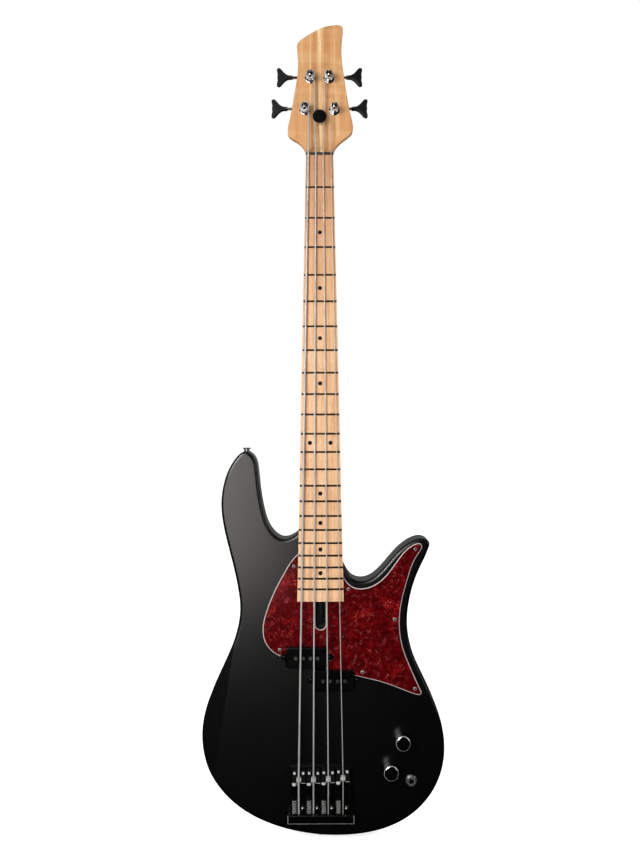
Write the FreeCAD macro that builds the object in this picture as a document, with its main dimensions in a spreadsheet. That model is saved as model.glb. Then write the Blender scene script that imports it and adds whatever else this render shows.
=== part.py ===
import FreeCAD, Part
import math
import os
import Sketcher
from FreeCAD import Placement, Rotation, Vector

# Four-string electric bass guitar, millimetres.
# +X is the treble side seen from the front, the front faces -Y and +Z runs up the neck.
# A level is a distance in front of the middle of the body's thickness, so its Y is minus the level.
# The origin is on the waist of the strap button at the tail, on the neck's centre line.

SIZES = {
    # one overrun for every cut, and the clearances
    "overrun": 2.0, "running_gap": 0.05, "loose_gap": 0.3, "seat_gap": 0.02, "pocket_gap": 0.15,
    # body
    "body_width": 336.0, "body_length": 519.5, "body_thickness": 41.0, "body_round": 4.0,
    "forearm_angle": 19.0, "forearm_reach": 90.0, "forearm_length": 330.0, "pocket_depth": 15.9,
    # neck, fingerboard and headstock
    "board_length": 638.0, "board_rise": 9.5, "saddle_line": 86.88, "fret_margin": 10.0,
    "board_thickness": 6.35, "board_radius": 304.8, "nut_width": 40.0, "board_end_width": 64.8,
    "neck_depth_nut": 21.5, "neck_depth_heel": 24.0, "heel_depth": 25.4, "heel_length": 92.0,
    "heel_round": 11.0, "head_width": 97.0, "head_length": 202.3, "head_drop": 8.5,
    "head_thickness": 13.5, "head_round": 1.2, "ramp_length": 13.0, "ramp_top_drop": 0.6,
    "nut_thickness": 3.2, "nut_seat_depth": 3.5,
    "fret_width": 2.7, "fret_height": 1.2, "tang_width": 0.6, "tang_depth": 1.8, "fret_inset": 0.4,
    "dot_radius": 3.0, "dot_depth": 1.6, "double_dot_offset": 14.6, "side_dot_radius": 1.1,
    "side_dot_depth": 1.5, "side_dot_drop": 3.4,
    "rod_width": 6.0, "rod_depth": 9.0, "rod_end_margin": 22.0,
    "rod_nut_radius": 4.0, "rod_nut_length": 34.0, "rod_nut_level": 18.4, "rod_nut_key": 2.4,
    "rod_key_depth": 9.0, "access_width": 14.8, "access_length": 39.5, "access_depth": 8.5,
    # neck bolts
    "bolt_radius": 2.5, "bolt_head_radius": 4.6, "bolt_head_height": 3.0, "bolt_grip": 13.0,
    "ferrule_radius": 7.5,
    "ferrule_depth": 4.5, "ferrule_floor": 1.3,
    # string retainer
    "retainer_radius": 10.2, "retainer_thickness": 3.6, "retainer_stem": 2.6, "retainer_height": 57.6,
    "retainer_stud": 1.7, "retainer_stud_length": 9.0, "retainer_press": 1.5,
    "retainer_dish": 0.6,
    # strings, their spacing and their height over the fingerboard
    "string_e_radius": 1.3, "string_a_radius": 1.05, "string_d_radius": 0.825, "string_g_radius": 0.57,
    "nut_spacing": 11.06, "bridge_spacing": 20.0, "nut_action": 1.8, "saddle_action": 5.0,
    "string_bend": 14.0, "saddle_bend": 4.0, "roller_gap": 0.15, "wrap_low": 8.0, "wrap_high": 19.5,
    "ball_radius": 2.6,
    # tuning machines
    "post_upper_out": 13.9, "post_upper_height": 119.4, "post_lower_out": 21.8, "post_lower_height": 70.6,
    "post_radius": 4.75, "winding_radius": 4.4, "post_height": 24.5, "post_slot": 3.1, "post_slot_depth": 7.5,
    "post_hole_radius": 1.9, "post_hole_depth": 13.0, "post_hub_radius": 3.0, "post_cap_round": 1.0,
    "bushing_radius": 6.2, "washer_radius": 8.2, "washer_thickness": 1.4, "bushing_nut_radius": 6.9,
    "bushing_nut_height": 2.6,
    "plate_half_width": 12.0, "plate_low": 12.0, "plate_high": 18.0, "plate_thickness": 1.6,
    "plate_corner": 4.0, "gear_teeth_module": 0.64, "gear_thickness": 5.0, "gear_play": 0.4,
    "worm_core_radius": 1.55, "worm_crest_radius": 2.55, "worm_length": 9.6, "worm_shaft_radius": 2.1,
    "mesh_gap": 0.16, "lug_thickness": 3.4, "lug_width": 7.0, "lug_cap": 1.5, "key_reach": 51.0,
    "button_length": 21.5, "button_width": 28.6, "button_thickness": 7.0,
    "button_round": 1.6, "collar_radius": 3.3, "collar_length": 3.0,
    "tuner_screw_out": 8.6, "tuner_screw_top": 14.8,
    "wood_screw_radius": 1.3, "wood_screw_length": 9.0, "wood_screw_head": 2.5, "wood_screw_dome": 1.3,
    # pickguard
    "guard_thickness": 2.3, "guard_bevel": 1.2,
    # pickups
    "pickup_length": 55.7, "pickup_breadth": 28.1, "pickup_rise": 8.5, "pickup_height": 14.0,
    "pickup_wall": 1.4, "pickup_corner": 3.0, "pickup_edge": 1.0, "pickup_bass_out": 19.35,
    "pickup_treble_out": 18.25, "ear_offset": 31.9, "ear_radius": 4.7, "ear_thickness": 2.0,
    "ear_screw_radius": 1.5,
    "ear_screw_head": 2.4, "ear_screw_length": 12.0, "route_depth": 16.0, "route_gap": 0.8,
    "pole_radius": 2.4, "pole_pitch": 10.1, "pole_proud": 0.4, "coil_length": 47.0, "coil_breadth": 18.0,
    "coil_height": 11.5, "foam_length": 42.0, "foam_breadth": 15.0,
    # bridge
    "bridge_width": 83.4, "bridge_top": 90.0, "bridge_thickness": 2.6, "rail_width": 1.8,
    "rail_height": 4.2, "tail_width": 90.2, "tail_low": 21.2, "tail_length": 10.6, "tail_height": 12.0,
    "tail_round": 0.8, "saddle_width": 18.2, "saddle_length": 15.8, "saddle_lead": 11.2,
    "saddle_rise": 8.3, "saddle_block_height": 6.2, "saddle_setback": 8.2, "saddle_setback_step": 0.63,
    "boss_length": 3.4, "boss_radius": 2.9, "roller_radius": 3.0, "roller_length": 6.0, "roller_groove": 0.57,
    "height_screw_radius": 1.5, "height_screw_offset": 5.9, "height_screw_proud": 1.0,
    "height_screw_lead": 2.7, "intonation_offset": 6.2, "intonation_level": 5.6, "screw_radius": 1.5,
    "screw_head_radius": 2.6, "screw_head_height": 2.4, "screw_tip": 2.6, "screw_end_gap": 0.6,
    "collar_disc_radius": 3.1, "collar_disc": 1.2, "spring_radius": 2.55, "spring_wire": 0.4,
    "spring_length": 18.0,
    "anchor_level": 5.0, "anchor_bore": 1.7, "mount_screw_offset": 5.5, "mount_screw_out": 4.5,
    "mount_screw_head": 4.1, "mount_screw_dome": 3.6, "mount_screw_radius": 1.8,
    "mount_screw_length": 18.0,
    # controls
    "knob_radius": 10.2, "knob_height": 16.0, "knob_gap": 0.8,
    "knob_side": 11.5, "knob_cup_radius": 8.0, "knob_cup_depth": 5.5, "shaft_radius": 3.0,
    "shaft_grip": 7.0, "pot_radius": 12.0, "pot_depth": 9.5, "pot_bush_radius": 4.7,
    "pot_bush_rise": 4.6, "pot_nut_radius": 6.6, "pot_nut_height": 2.2, "front_wall": 6.0,
    "jack_radius": 6.1, "jack_bore": 3.2, "jack_depth": 29.0, "jack_wall": 2.2, "jack_nut_radius": 7.7,
    "jack_nut_height": 2.2, "jack_rise": 2.8,
    "cover_thickness": 2.2, "cavity_margin": 7.0, "cavity_round": 9.0,
    "capacitor_length": 10.0, "capacitor_breadth": 4.0, "capacitor_height": 7.0,
    "wire_radius": 0.8, "wire_bend": 2.4, "channel_radius": 4.0,
    # strap buttons
    "strap_base_radius": 5.0, "strap_base": 1.0, "strap_waist_radius": 4.0, "strap_waist": 3.4,
    "strap_flange_radius": 5.8, "strap_flange": 1.8, "strap_sink": 1.3, "strap_bore": 1.9,
    "strap_screw_length": 22.0, "strap_screw_head": 3.2, "strap_screw_head_height": 1.2,
}

WRAP_QUARTERS = 9
SPRING_TURNS = 8
GEAR_TEETH = 20
WORM_TURNS = 4
THREAD_FOOT_SHARE = 0.345
THREAD_TIP_SHARE = 0.12
DOT_FRETS = (3, 5, 7, 9, 15, 17, 19, 21)
DOUBLE_DOT_FRET = 12

# Outline points: shares of body width across, of body length up from the tail.
BODY_SHARES = [
    (-0.089, 0.783), (-0.119, 0.768), (-0.155, 0.7625), (-0.206, 0.785), (-0.241, 0.839),
    (-0.259, 0.905), (-0.267, 0.950), (-0.283, 0.984), (-0.317, 0.999), (-0.365, 0.976),
    (-0.400, 0.932), (-0.419, 0.867), (-0.4095, 0.802), (-0.376, 0.716), (-0.345, 0.631),
    (-0.336, 0.573), (-0.361, 0.4945), (-0.412, 0.416), (-0.4645, 0.339), (-0.491, 0.248),
    (-0.474, 0.185), (-0.403, 0.109), (-0.3065, 0.058), (-0.146, 0.0155), (0.0, 0.0),
    (0.100, -0.001), (0.222, 0.009), (0.3455, 0.040), (0.458, 0.109), (0.504, 0.185),
    (0.506, 0.250), (0.468, 0.339), (0.412, 0.416), (0.369, 0.4945), (0.361, 0.547),
    (0.371, 0.600), (0.408, 0.674), (0.455, 0.738), (0.4585, 0.754), (0.4375, 0.763),
    (0.395, 0.760), (0.325, 0.729), (0.2555, 0.680), (0.2035, 0.655), (0.169, 0.651),
    (0.1345, 0.658), (0.107, 0.6795), (0.089, 0.7065),
]
FOREARM_SHARES = [(-0.450, 0.070), (-0.3365, 0.573)]
POCKET_SHARE = 0.6015
VOLUME_SHARES = (0.3342, 0.2416)
TONE_SHARES = (0.2848, 0.1671)
JACK_SHARES = (0.3693, 0.1371)
# Neck bolts: share of the body's width, and shares of the neck pocket's length.
BOLT_ACROSS_SHARE = 0.05655
BOLT_SHARES = (0.275, 0.899)
# Pickups: shares of the way from the saddles to the fingerboard.
PICKUP_BASS_SHARE = 0.6605
PICKUP_TREBLE_SHARE = 0.5253
# Shares of headstock width across, of headstock length up from the nut.
HEAD_SHARES = [
    (0.208, 0.015), (0.237, 0.064), (0.346, 0.121), (0.433, 0.153), (0.497, 0.186), (0.510, 0.224),
    (0.480, 0.305), (0.426, 0.444), (0.372, 0.620), (0.340, 0.760), (0.343, 0.865), (0.360, 0.950),
    (0.357, 0.981), (0.325, 0.997), (0.213, 1.000), (0.099, 0.991), (-0.044, 0.962), (-0.185, 0.923),
    (-0.286, 0.888), (-0.338, 0.862), (-0.347, 0.830), (-0.332, 0.725), (-0.349, 0.585),
    (-0.398, 0.444), (-0.447, 0.305), (-0.488, 0.205), (-0.478, 0.165), (-0.416, 0.137),
    (-0.332, 0.113), (-0.237, 0.064), (-0.208, 0.015),
]
# The guard's width, length and lowest point as shares of the body's width and length, and its outline as
# shares of its own width across and of its own length up.
GUARD_WIDTH_SHARE = 0.6652
GUARD_LENGTH_SHARE = 0.3963
GUARD_LOW_SHARE = 0.3557
GUARD_LOBE_SHARES = [
    (-0.140, 0.931), (-0.182, 0.884), (-0.226, 0.809), (-0.264, 0.737), (-0.335, 0.562),
    (-0.3615, 0.427), (-0.344, 0.340), (-0.277, 0.267), (-0.200, 0.241),
]
GUARD_WING_SHARES = [
    (0.190, 0.131), (0.258, 0.115), (0.391, 0.080), (0.524, 0.028), (0.5995, 0.001), (0.6135, 0.0),
    (0.6245, 0.010), (0.6205, 0.031), (0.559, 0.178), (0.511, 0.3185), (0.494, 0.446), (0.507, 0.602),
    (0.5535, 0.781), (0.6165, 0.9285), (0.6385, 0.989), (0.627, 1.0), (0.6035, 0.998), (0.521, 0.935),
    (0.439, 0.820), (0.350, 0.730), (0.255, 0.699), (0.214, 0.705), (0.174, 0.734), (0.144, 0.777),
]
GUARD_STEP_SHARES = [(-0.190, 0.285), (0.030, 0.285), (0.033, 0.150)]
GUARD_SCREW_SHARES = [
    (0.598, 0.961), (0.1755, 0.696), (0.464, 0.495), (0.2595, 0.150), (0.585, 0.042),
    (-0.168, 0.8475), (-0.2545, 0.297),
]
# The control cover in the same way, from its lower left corner seen from the front.
COVER_WIDTH_SHARE = 0.25
COVER_LENGTH_SHARE = 0.2348
COVER_LEFT_SHARE = 0.2024
COVER_LOW_SHARE = 0.0847
COVER_SHARES = [(0.0, 0.22), (0.30, 0.0), (0.80, 0.0), (1.0, 0.30), (0.93, 0.72), (0.72, 1.0), (0.0, 1.0)]
COVER_SCREW_SHARES = [(0.0, 0.61), (0.55, 0.0), (0.965, 0.51), (0.36, 1.0)]
WIRE_DROP_SHARE = 0.4
HORN_SHARES = (-0.317, 0.9985)
BUTTON_SHARES = [(0.0, 0.10), (0.18, 0.11), (0.42, 0.22), (0.66, 0.42), (0.82, 0.50), (0.97, 0.45),
                 (0.98, 0.36), (0.93, 0.16), (0.95, 0.0)]

doc = FreeCAD.newDocument("bass_guitar")
sheet = doc.addObject("Spreadsheet::Sheet", "sizes")
for row, (alias, number) in enumerate(SIZES.items(), start=1):
    sheet.set("A%d" % row, alias)
    sheet.set("B%d" % row, str(number))
    sheet.setAlias("B%d" % row, alias)
doc.recompute()


class Size:
    """A length that knows both its number and the sheet expression that gives it."""

    def __init__(self, number, text):
        self.number = float(number)
        self.text = text

    def __float__(self):
        return self.number

    def __neg__(self):
        return Size(-self.number, "-(%s)" % self.text)

    def __add__(self, other):
        other = sized(other)
        return Size(self.number + other.number, "(%s + %s)" % (self.text, other.text))

    def __sub__(self, other):
        other = sized(other)
        return Size(self.number - other.number, "(%s - %s)" % (self.text, other.text))

    def __mul__(self, other):
        other = sized(other)
        return Size(self.number * other.number, "(%s * %s)" % (self.text, other.text))

    def __truediv__(self, other):
        other = sized(other)
        return Size(self.number / other.number, "(%s / %s)" % (self.text, other.text))

    __radd__ = __add__
    __rmul__ = __mul__

    def __rsub__(self, other):
        return sized(other) - self


def sized(value):
    return value if isinstance(value, Size) else Size(value, repr(float(value)))


class Sheet:
    """Reads a named cell of the sheet as a Size."""

    def __getattr__(self, name):
        return Size(sheet.get(name), "sizes." + name)


S = Sheet()
NODES = {}
FRONT = Rotation(Vector(1, 0, 0), 90)
RIGHT = Rotation(Vector(0, 1, 0), 90)
UP = Rotation()
SPIN_FRONT = Rotation(Vector(0, 0, 1), 180)
SPIN_UP = Rotation(Vector(1, 0, 0), 90)
SPIN_DOWN = Rotation(Vector(1, 0, 0), -90)
SPIN_REAR = Rotation()
SPIN_RIGHT = Rotation(Vector(0, 0, 1), -90)

# Levels and heights that several pieces share.
HALF_BODY = S.body_thickness / 2
TAIL = S.strap_base + S.strap_waist / 2
BOARD_END_Z = TAIL + S.body_length * POCKET_SHARE
NUT_Z = BOARD_END_Z + S.board_length
BOARD_TOP = HALF_BODY + S.board_rise
BOARD_UNDER = BOARD_TOP - S.board_thickness
HEAD_FACE = BOARD_TOP - S.head_drop
HEAD_BACK = HEAD_FACE - S.head_thickness
GUARD_TOP = HALF_BODY + S.guard_thickness
PLATE_TOP = HALF_BODY + S.bridge_thickness
SADDLE_LINE_Z = TAIL + S.saddle_line
SCALE = NUT_Z - SADDLE_LINE_Z
TAIL_FRONT_Z = TAIL + S.tail_low + S.tail_length
SCREW_LEVEL = PLATE_TOP + S.intonation_level
STRINGS = ("e", "a", "d", "g")
STRING_PLACES = {"e": -1.5, "a": -0.5, "d": 0.5, "g": 1.5}
STRING_RADII = {"e": S.string_e_radius, "a": S.string_a_radius, "d": S.string_d_radius,
                "g": S.string_g_radius}
TUNER_POSTS = {
    "e": (-1, S.post_lower_out, NUT_Z + S.post_lower_height),
    "a": (-1, S.post_upper_out, NUT_Z + S.post_upper_height),
    "d": (1, S.post_upper_out, NUT_Z + S.post_upper_height),
    "g": (1, S.post_lower_out, NUT_Z + S.post_lower_height),
}
PICKUPS = {
    "bass": (-S.pickup_bass_out, SADDLE_LINE_Z + (BOARD_END_Z - SADDLE_LINE_Z) * PICKUP_BASS_SHARE),
    "treble": (S.pickup_treble_out, SADDLE_LINE_Z + (BOARD_END_Z - SADDLE_LINE_Z) * PICKUP_TREBLE_SHARE),
}
CONTROLS = {
    "volume": (S.body_width * VOLUME_SHARES[0], TAIL + S.body_length * VOLUME_SHARES[1]),
    "tone": (S.body_width * TONE_SHARES[0], TAIL + S.body_length * TONE_SHARES[1]),
}
JACK = (S.body_width * JACK_SHARES[0], TAIL + S.body_length * JACK_SHARES[1])
GUARD_WIDTH = S.body_width * GUARD_WIDTH_SHARE
GUARD_LENGTH = S.body_length * GUARD_LENGTH_SHARE
GUARD_LOW_Z = TAIL + S.body_length * GUARD_LOW_SHARE
COVER_WIDTH = S.body_width * COVER_WIDTH_SHARE
COVER_LENGTH = S.body_length * COVER_LENGTH_SHARE
COVER_LEFT_X = S.body_width * COVER_LEFT_SHARE
COVER_LOW_Z = TAIL + S.body_length * COVER_LOW_SHARE


def at(x, level, z):
    """Point across, in front and up."""
    return Vector(float(x), -float(level), float(z))


def bind(item, **sizes):
    for name, value in sizes.items():
        item.setExpression(name, sized(value).text)
    return item


def place(item, x, level, z, rotation):
    """Puts an item at a place across, in front and up, bound to the sheet."""
    x, level, z = sized(x), sized(level), sized(z)
    item.Placement = Placement(at(x, level, z), rotation)
    item.setExpression("Placement.Base.x", x.text)
    item.setExpression("Placement.Base.y", (-level).text)
    item.setExpression("Placement.Base.z", z.text)
    return item


def cylinder(name, radius, length, x, level, z, rotation):
    item = doc.addObject("Part::Cylinder", name)
    bind(item, Radius=radius, Height=length)
    return place(item, x, level, z, rotation)


def block(name, width, depth, height, x, level, z):
    """A box centred across at x, from its level backwards by its depth, and up from z."""
    item = doc.addObject("Part::Box", name)
    bind(item, Length=width, Width=depth, Height=height)
    return place(item, sized(x) - sized(width) / 2, level, z, UP)


def joined(name, items):
    if len(items) == 1:
        return items[0]
    item = doc.addObject("Part::MultiFuse", name)
    item.Shapes = items
    return item


def cut(name, base, tools):
    item = doc.addObject("Part::Cut", name)
    item.Base = base
    item.Tool = joined(name + "_tools", tools)
    return item


def solid(name, shape):
    item = doc.addObject("Part::Feature", name)
    item.Shape = shape
    return item


def node(label, item):
    item.Label = label
    NODES[label] = item
    return item


def group(label, shapes):
    """One node of several separate solids."""
    solids = [piece for shape in shapes for piece in shape.Solids]
    return node(label, solid(label, Part.makeCompound(solids)))


def placed(item, x, level, z, rotation):
    """A copy of an item's shape at a place across, in front and up."""
    shape = item.Shape.copy()
    shape.Placement = Placement(at(x, level, z), rotation)
    return shape


def new_body(name):
    body = doc.addObject("PartDesign::Body", name)
    body.AllowCompound = True
    return body


def sketch_on(body, role, name, offset=None):
    sketch = body.newObject("Sketcher::SketchObject", name)
    plane = [item for item in body.Origin.OriginFeatures if item.Role == role][0]
    sketch.AttachmentSupport = [(plane, "")]
    sketch.MapMode = "FlatFace"
    if offset is not None:
        sketch.AttachmentOffset = Placement(Vector(0, 0, float(offset)), Rotation())
        sketch.setExpression("AttachmentOffset.Base.z", sized(offset).text)
    return sketch


def polygon(sketch, points):
    """Closed polygon whose corners are all bound to the sheet."""
    corners = [(sized(x), sized(y)) for x, y in points]
    count = len(corners)
    for index in range(count):
        first, second = corners[index], corners[(index + 1) % count]
        sketch.addGeometry(Part.LineSegment(Vector(float(first[0]), float(first[1]), 0),
                                            Vector(float(second[0]), float(second[1]), 0)))
    for index in range(count):
        sketch.addConstraint(Sketcher.Constraint("Coincident", index, 2, (index + 1) % count, 1))
    for index, (x, y) in enumerate(corners):
        for kind, value in (("DistanceX", x), ("DistanceY", y)):
            place_of = sketch.addConstraint(Sketcher.Constraint(kind, -1, 1, index, 1, float(value)))
            sketch.setExpression("Constraints[%d]" % place_of, value.text)
    return sketch


def curve(sketch, points):
    """Smooth curve through points, with its ends' places kept."""
    line = Part.BSplineCurve()
    line.interpolate([Vector(float(x), float(y), 0) for x, y in points])
    sketch.addGeometry(line)


def segments(sketch, points):
    for first, second in zip(points, points[1:]):
        sketch.addGeometry(Part.LineSegment(Vector(float(first[0]), float(first[1]), 0),
                                            Vector(float(second[0]), float(second[1]), 0)))


def circle(sketch, x, y, radius):
    x, y, radius = sized(x), sized(y), sized(radius)
    index = sketch.addGeometry(Part.Circle(Vector(float(x), float(y), 0), Vector(0, 0, 1), float(radius)))
    for kind, value in (("DistanceX", x), ("DistanceY", y)):
        place_of = sketch.addConstraint(Sketcher.Constraint(kind, -1, 1, index, 3, float(value)))
        sketch.setExpression("Constraints[%d]" % place_of, value.text)
    place_of = sketch.addConstraint(Sketcher.Constraint("Radius", index, float(radius)))
    sketch.setExpression("Constraints[%d]" % place_of, radius.text)


def pad(body, sketch, length, name):
    item = body.newObject("PartDesign::Pad", name)
    item.Profile = sketch
    bind(item, Length=length)
    return item


def pocket(body, sketch, length, name, reverse=False):
    item = body.newObject("PartDesign::Pocket", name)
    item.Profile = sketch
    item.Reversed = reverse
    bind(item, Length=length)
    return item


def fillet(body, base, edges, radius, name):
    item = body.newObject("PartDesign::Fillet", name)
    item.Base = (base, edges)
    bind(item, Radius=radius)
    return item


def edge_names(shape, test):
    return ["Edge%d" % (index + 1) for index, edge in enumerate(shape.Edges) if test(edge)]


def turned(name, profile):
    """Solid of revolution about its own Y, from corners given as radius and height."""
    body = new_body(name)
    sketch = polygon(sketch_on(body, "XY_Plane", name + "_profile"), profile)
    item = body.newObject("PartDesign::Revolution", name + "_turn")
    item.Profile = sketch
    item.ReferenceAxis = (sketch, ["V_Axis"])
    item.Angle = 360
    return body


def share_points(shares, width, length, base):
    return [(width * across, base + length * up) for across, up in shares]


def board_width(z):
    """Width of the neck and fingerboard at a height."""
    return S.nut_width + (S.board_end_width - S.nut_width) * ((NUT_Z - z) / S.board_length)


def string_x(name, z):
    """Place across of a string at a height between bridge and nut."""
    place_across = STRING_PLACES[name]
    share = (NUT_Z - z) / SCALE
    return S.nut_spacing * place_across + (S.bridge_spacing - S.nut_spacing) * place_across * share


def crown(x):
    """How far the fingerboard's curve falls away at a place across."""
    return S.board_radius.number - math.sqrt(S.board_radius.number ** 2 - float(x) ** 2)


def fret_z(number):
    return NUT_Z - SCALE * (1 - 2 ** (-number / 12))


def fret_count():
    """How many frets the fingerboard has room for."""
    count = 0
    while float(NUT_Z - fret_z(count + 1)) < float(S.board_length - S.fret_margin):
        count += 1
    return count


def dot_frets():
    return [number for number in DOT_FRETS if number <= fret_count()]


def dot_z(number):
    return (fret_z(number) + fret_z(number - 1)) / 2


def taper_outline(low, high, gap):
    """Corners of the neck's tapered outline between two heights."""
    half_low, half_high = board_width(low) / 2 + gap, board_width(high) / 2 + gap
    return [(-half_low, low), (half_low, low), (half_high, high), (-half_high, high)]


def tapered(name, low, high, gap, level, thickness):
    """Tapered slab of the neck's outline, from a level towards the front."""
    body = new_body(name)
    sketch = polygon(sketch_on(body, "XZ_Plane", name + "_outline", level), taper_outline(low, high, gap))
    pad(body, sketch, thickness, name + "_pad")
    return body


# Body of the instrument

def body_blank():
    body = new_body("body_blank")
    sketch = sketch_on(body, "XZ_Plane", "body_outline", -HALF_BODY)
    points = share_points(BODY_SHARES, S.body_width, S.body_length, TAIL)
    curve(sketch, points)
    segments(sketch, [points[-1], points[0]])
    slab = pad(body, sketch, S.body_thickness, "body_slab")
    doc.recompute()
    rims = edge_names(slab.Shape, lambda edge: edge.Curve.TypeId == "Part::GeomBSplineCurve")
    fillet(body, slab, rims, S.body_round, "body_rims")
    return body


def forearm_bevel():
    """Slanted box that planes the front edge of the lower bout where the forearm lies."""
    low, high = share_points(FOREARM_SHARES, S.body_width, S.body_length, TAIL)
    start = Vector(float(low[0]), -HALF_BODY.number, float(low[1]))
    end = Vector(float(high[0]), -HALF_BODY.number, float(high[1]))
    along = end.sub(start).normalize()
    outward = along.cross(Vector(0, 1, 0))
    turn = math.radians(S.forearm_angle.number)
    down = outward * math.cos(turn) + Vector(0, math.sin(turn), 0)
    tool = doc.addObject("Part::Box", "forearm_tool")
    bind(tool, Length=S.forearm_length, Width=S.forearm_reach, Height=S.body_thickness)
    frame = Rotation(along, down, along.cross(down), "XYZ")
    tool.Placement = Placement(end - along * S.forearm_length.number, frame)
    return tool


def cavity_outline(name, margin, level, depth):
    """Rounded solid of the control cavity, or of its cover, from a level towards the front."""
    body = new_body(name)
    sketch = sketch_on(body, "XZ_Plane", name + "_outline", level)
    polygon(sketch, [cover_point(shares, margin) for shares in COVER_SHARES])
    slab = pad(body, sketch, depth, name + "_pad")
    doc.recompute()
    corners = edge_names(slab.Shape, lambda edge: abs(edge.tangentAt(edge.FirstParameter).y) > 0.9)
    fillet(body, slab, corners, S.cavity_round, name + "_corners")
    return body


def body_cuts():
    tools = [forearm_bevel()]
    pocket_floor = HALF_BODY - S.pocket_depth
    top = NUT_Z - S.board_length / 2
    tools.append(tapered("neck_pocket", BOARD_END_Z - S.pocket_gap, top, S.pocket_gap, pocket_floor,
                         S.body_thickness))
    tools.append(block("access_channel", S.access_width, S.access_depth, S.access_length + S.overrun, 0,
                       HALF_BODY, BOARD_END_Z - S.access_length))
    for name, (x, z) in PICKUPS.items():
        tools.append(block("route_" + name, S.pickup_length + S.route_gap * 2, S.route_depth,
                           S.pickup_breadth + S.route_gap * 2, x, HALF_BODY,
                           z - S.pickup_breadth / 2 - S.route_gap))
        for side in (-1, 1):
            tools.append(cylinder("ear_pilot", S.ear_screw_radius + S.running_gap, S.ear_screw_length,
                                  x + S.ear_offset * side, HALF_BODY - S.ear_screw_length, z, FRONT))
    tools.append(cavity_outline("control_cavity", S.cavity_margin, -HALF_BODY - S.overrun,
                                S.body_thickness - S.front_wall + S.overrun))
    tools.append(cavity_outline("cover_recess", -S.pocket_gap, -HALF_BODY - S.overrun,
                                S.cover_thickness + S.overrun))
    for name, (x, z) in CONTROLS.items():
        tools.append(cylinder(name + "_hole", S.pot_bush_radius + S.pocket_gap, S.body_thickness, x, 0, z,
                              FRONT))
    tools.append(cylinder("jack_hole", S.jack_radius + S.pocket_gap, S.body_thickness, JACK[0], 0, JACK[1],
                          FRONT))
    treble_x, treble_z = PICKUPS["treble"]
    channel_level = HALF_BODY - S.route_depth + S.channel_radius
    tools.append(cylinder("wire_channel", S.channel_radius, wire_drop_x() + S.channel_radius - treble_x,
                          treble_x, channel_level, wire_channel_z(), RIGHT))
    drop_low = CONTROLS["volume"][1] + S.pot_radius
    tools.append(cylinder("wire_drop", S.channel_radius, wire_channel_z() - drop_low, wire_drop_x(),
                          channel_level, drop_low, UP))
    tools.append(cylinder("half_channel", S.channel_radius, PICKUPS["bass"][1] - treble_z, 0, channel_level,
                          treble_z, UP))
    for x, z in bolt_places():
        tools.append(cylinder("bolt_hole", S.bolt_radius + S.pocket_gap, S.body_thickness, x, -HALF_BODY, z,
                              FRONT))
        tools.append(cylinder("ferrule_seat", S.ferrule_radius + S.seat_gap, S.ferrule_depth + S.overrun, x,
                              -HALF_BODY - S.overrun, z, FRONT))
    for x, z in mount_screw_places():
        tools.append(cylinder("bridge_pilot", S.mount_screw_radius + S.running_gap, S.mount_screw_length, x,
                              HALF_BODY - S.mount_screw_length + S.bridge_thickness, z, FRONT))
    for x, z in guard_screw_places():
        tools.append(cylinder("guard_pilot", S.wood_screw_radius + S.running_gap, S.wood_screw_length, x,
                              GUARD_TOP - S.wood_screw_length, z, FRONT))
    for x, z in cover_screw_places():
        tools.append(cylinder("cover_pilot", S.wood_screw_radius + S.running_gap, S.wood_screw_length, x,
                              -HALF_BODY, z, FRONT))
    for x, z, direction in strap_places():
        low = z - S.strap_screw_length if direction > 0 else z
        tools.append(cylinder("strap_pilot", S.strap_bore + S.running_gap, S.strap_screw_length, x, 0, low,
                              UP))
        low = z if direction > 0 else z - S.overrun * 2
        tools.append(cylinder("strap_seat", S.strap_base_radius + S.loose_gap, S.overrun * 2, x, 0, low, UP))
    return tools


def wire_channel_z():
    return PICKUPS["treble"][1] - S.pickup_breadth / 2 + S.channel_radius + S.pickup_wall


def wire_drop_x():
    return COVER_LEFT_X + COVER_WIDTH * WIRE_DROP_SHARE


def bolt_places():
    length = S.body_length * (BODY_SHARES[-1][1] - POCKET_SHARE)
    offset = S.body_width * BOLT_ACROSS_SHARE
    return [(offset * side, BOARD_END_Z + length * share) for side in (-1, 1) for share in BOLT_SHARES]


def mount_screw_places():
    return [(S.bridge_spacing * STRING_PLACES[name] + S.mount_screw_offset, TAIL_FRONT_Z + S.mount_screw_out)
            for name in STRINGS]


def guard_screw_places():
    return share_points(GUARD_SCREW_SHARES, GUARD_WIDTH, GUARD_LENGTH, GUARD_LOW_Z)


def inset(point_share, size, margin):
    """Distance from the cover's middle, drawn in by a margin at the rim."""
    return size * (point_share - 0.5) * (1 - margin / size * 2)


def cover_point(shares, margin):
    return (COVER_LEFT_X + COVER_WIDTH / 2 + inset(shares[0], COVER_WIDTH, margin),
            COVER_LOW_Z + COVER_LENGTH / 2 + inset(shares[1], COVER_LENGTH, margin))


def cover_screw_places():
    return [cover_point(shares, S.cavity_margin / 2) for shares in COVER_SCREW_SHARES]


def strap_places():
    """Seats of the two strap buttons, with the way that each button points."""
    horn_x, horn_z = share_points([HORN_SHARES], S.body_width, S.body_length, TAIL)[0]
    return [(sized(0), TAIL, -1), (horn_x, horn_z - S.strap_sink, 1)]


def make_body():
    node("body", cut("body", body_blank(), body_cuts()))


# Neck and fingerboard

def neck_section(z, depth):
    """Half ellipse with a flat front, across the neck at a height."""
    half = float(board_width(z)) / 2
    centre = Vector(0, -BOARD_UNDER.number, float(z))
    ellipse = Part.Ellipse(centre + Vector(half, 0, 0), centre + Vector(0, float(depth), 0), centre)
    back = Part.ArcOfEllipse(ellipse, 0, math.pi).toShape()
    flat = Part.LineSegment(centre - Vector(half, 0, 0), centre + Vector(half, 0, 0)).toShape()
    return Part.Wire([back, flat])


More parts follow.
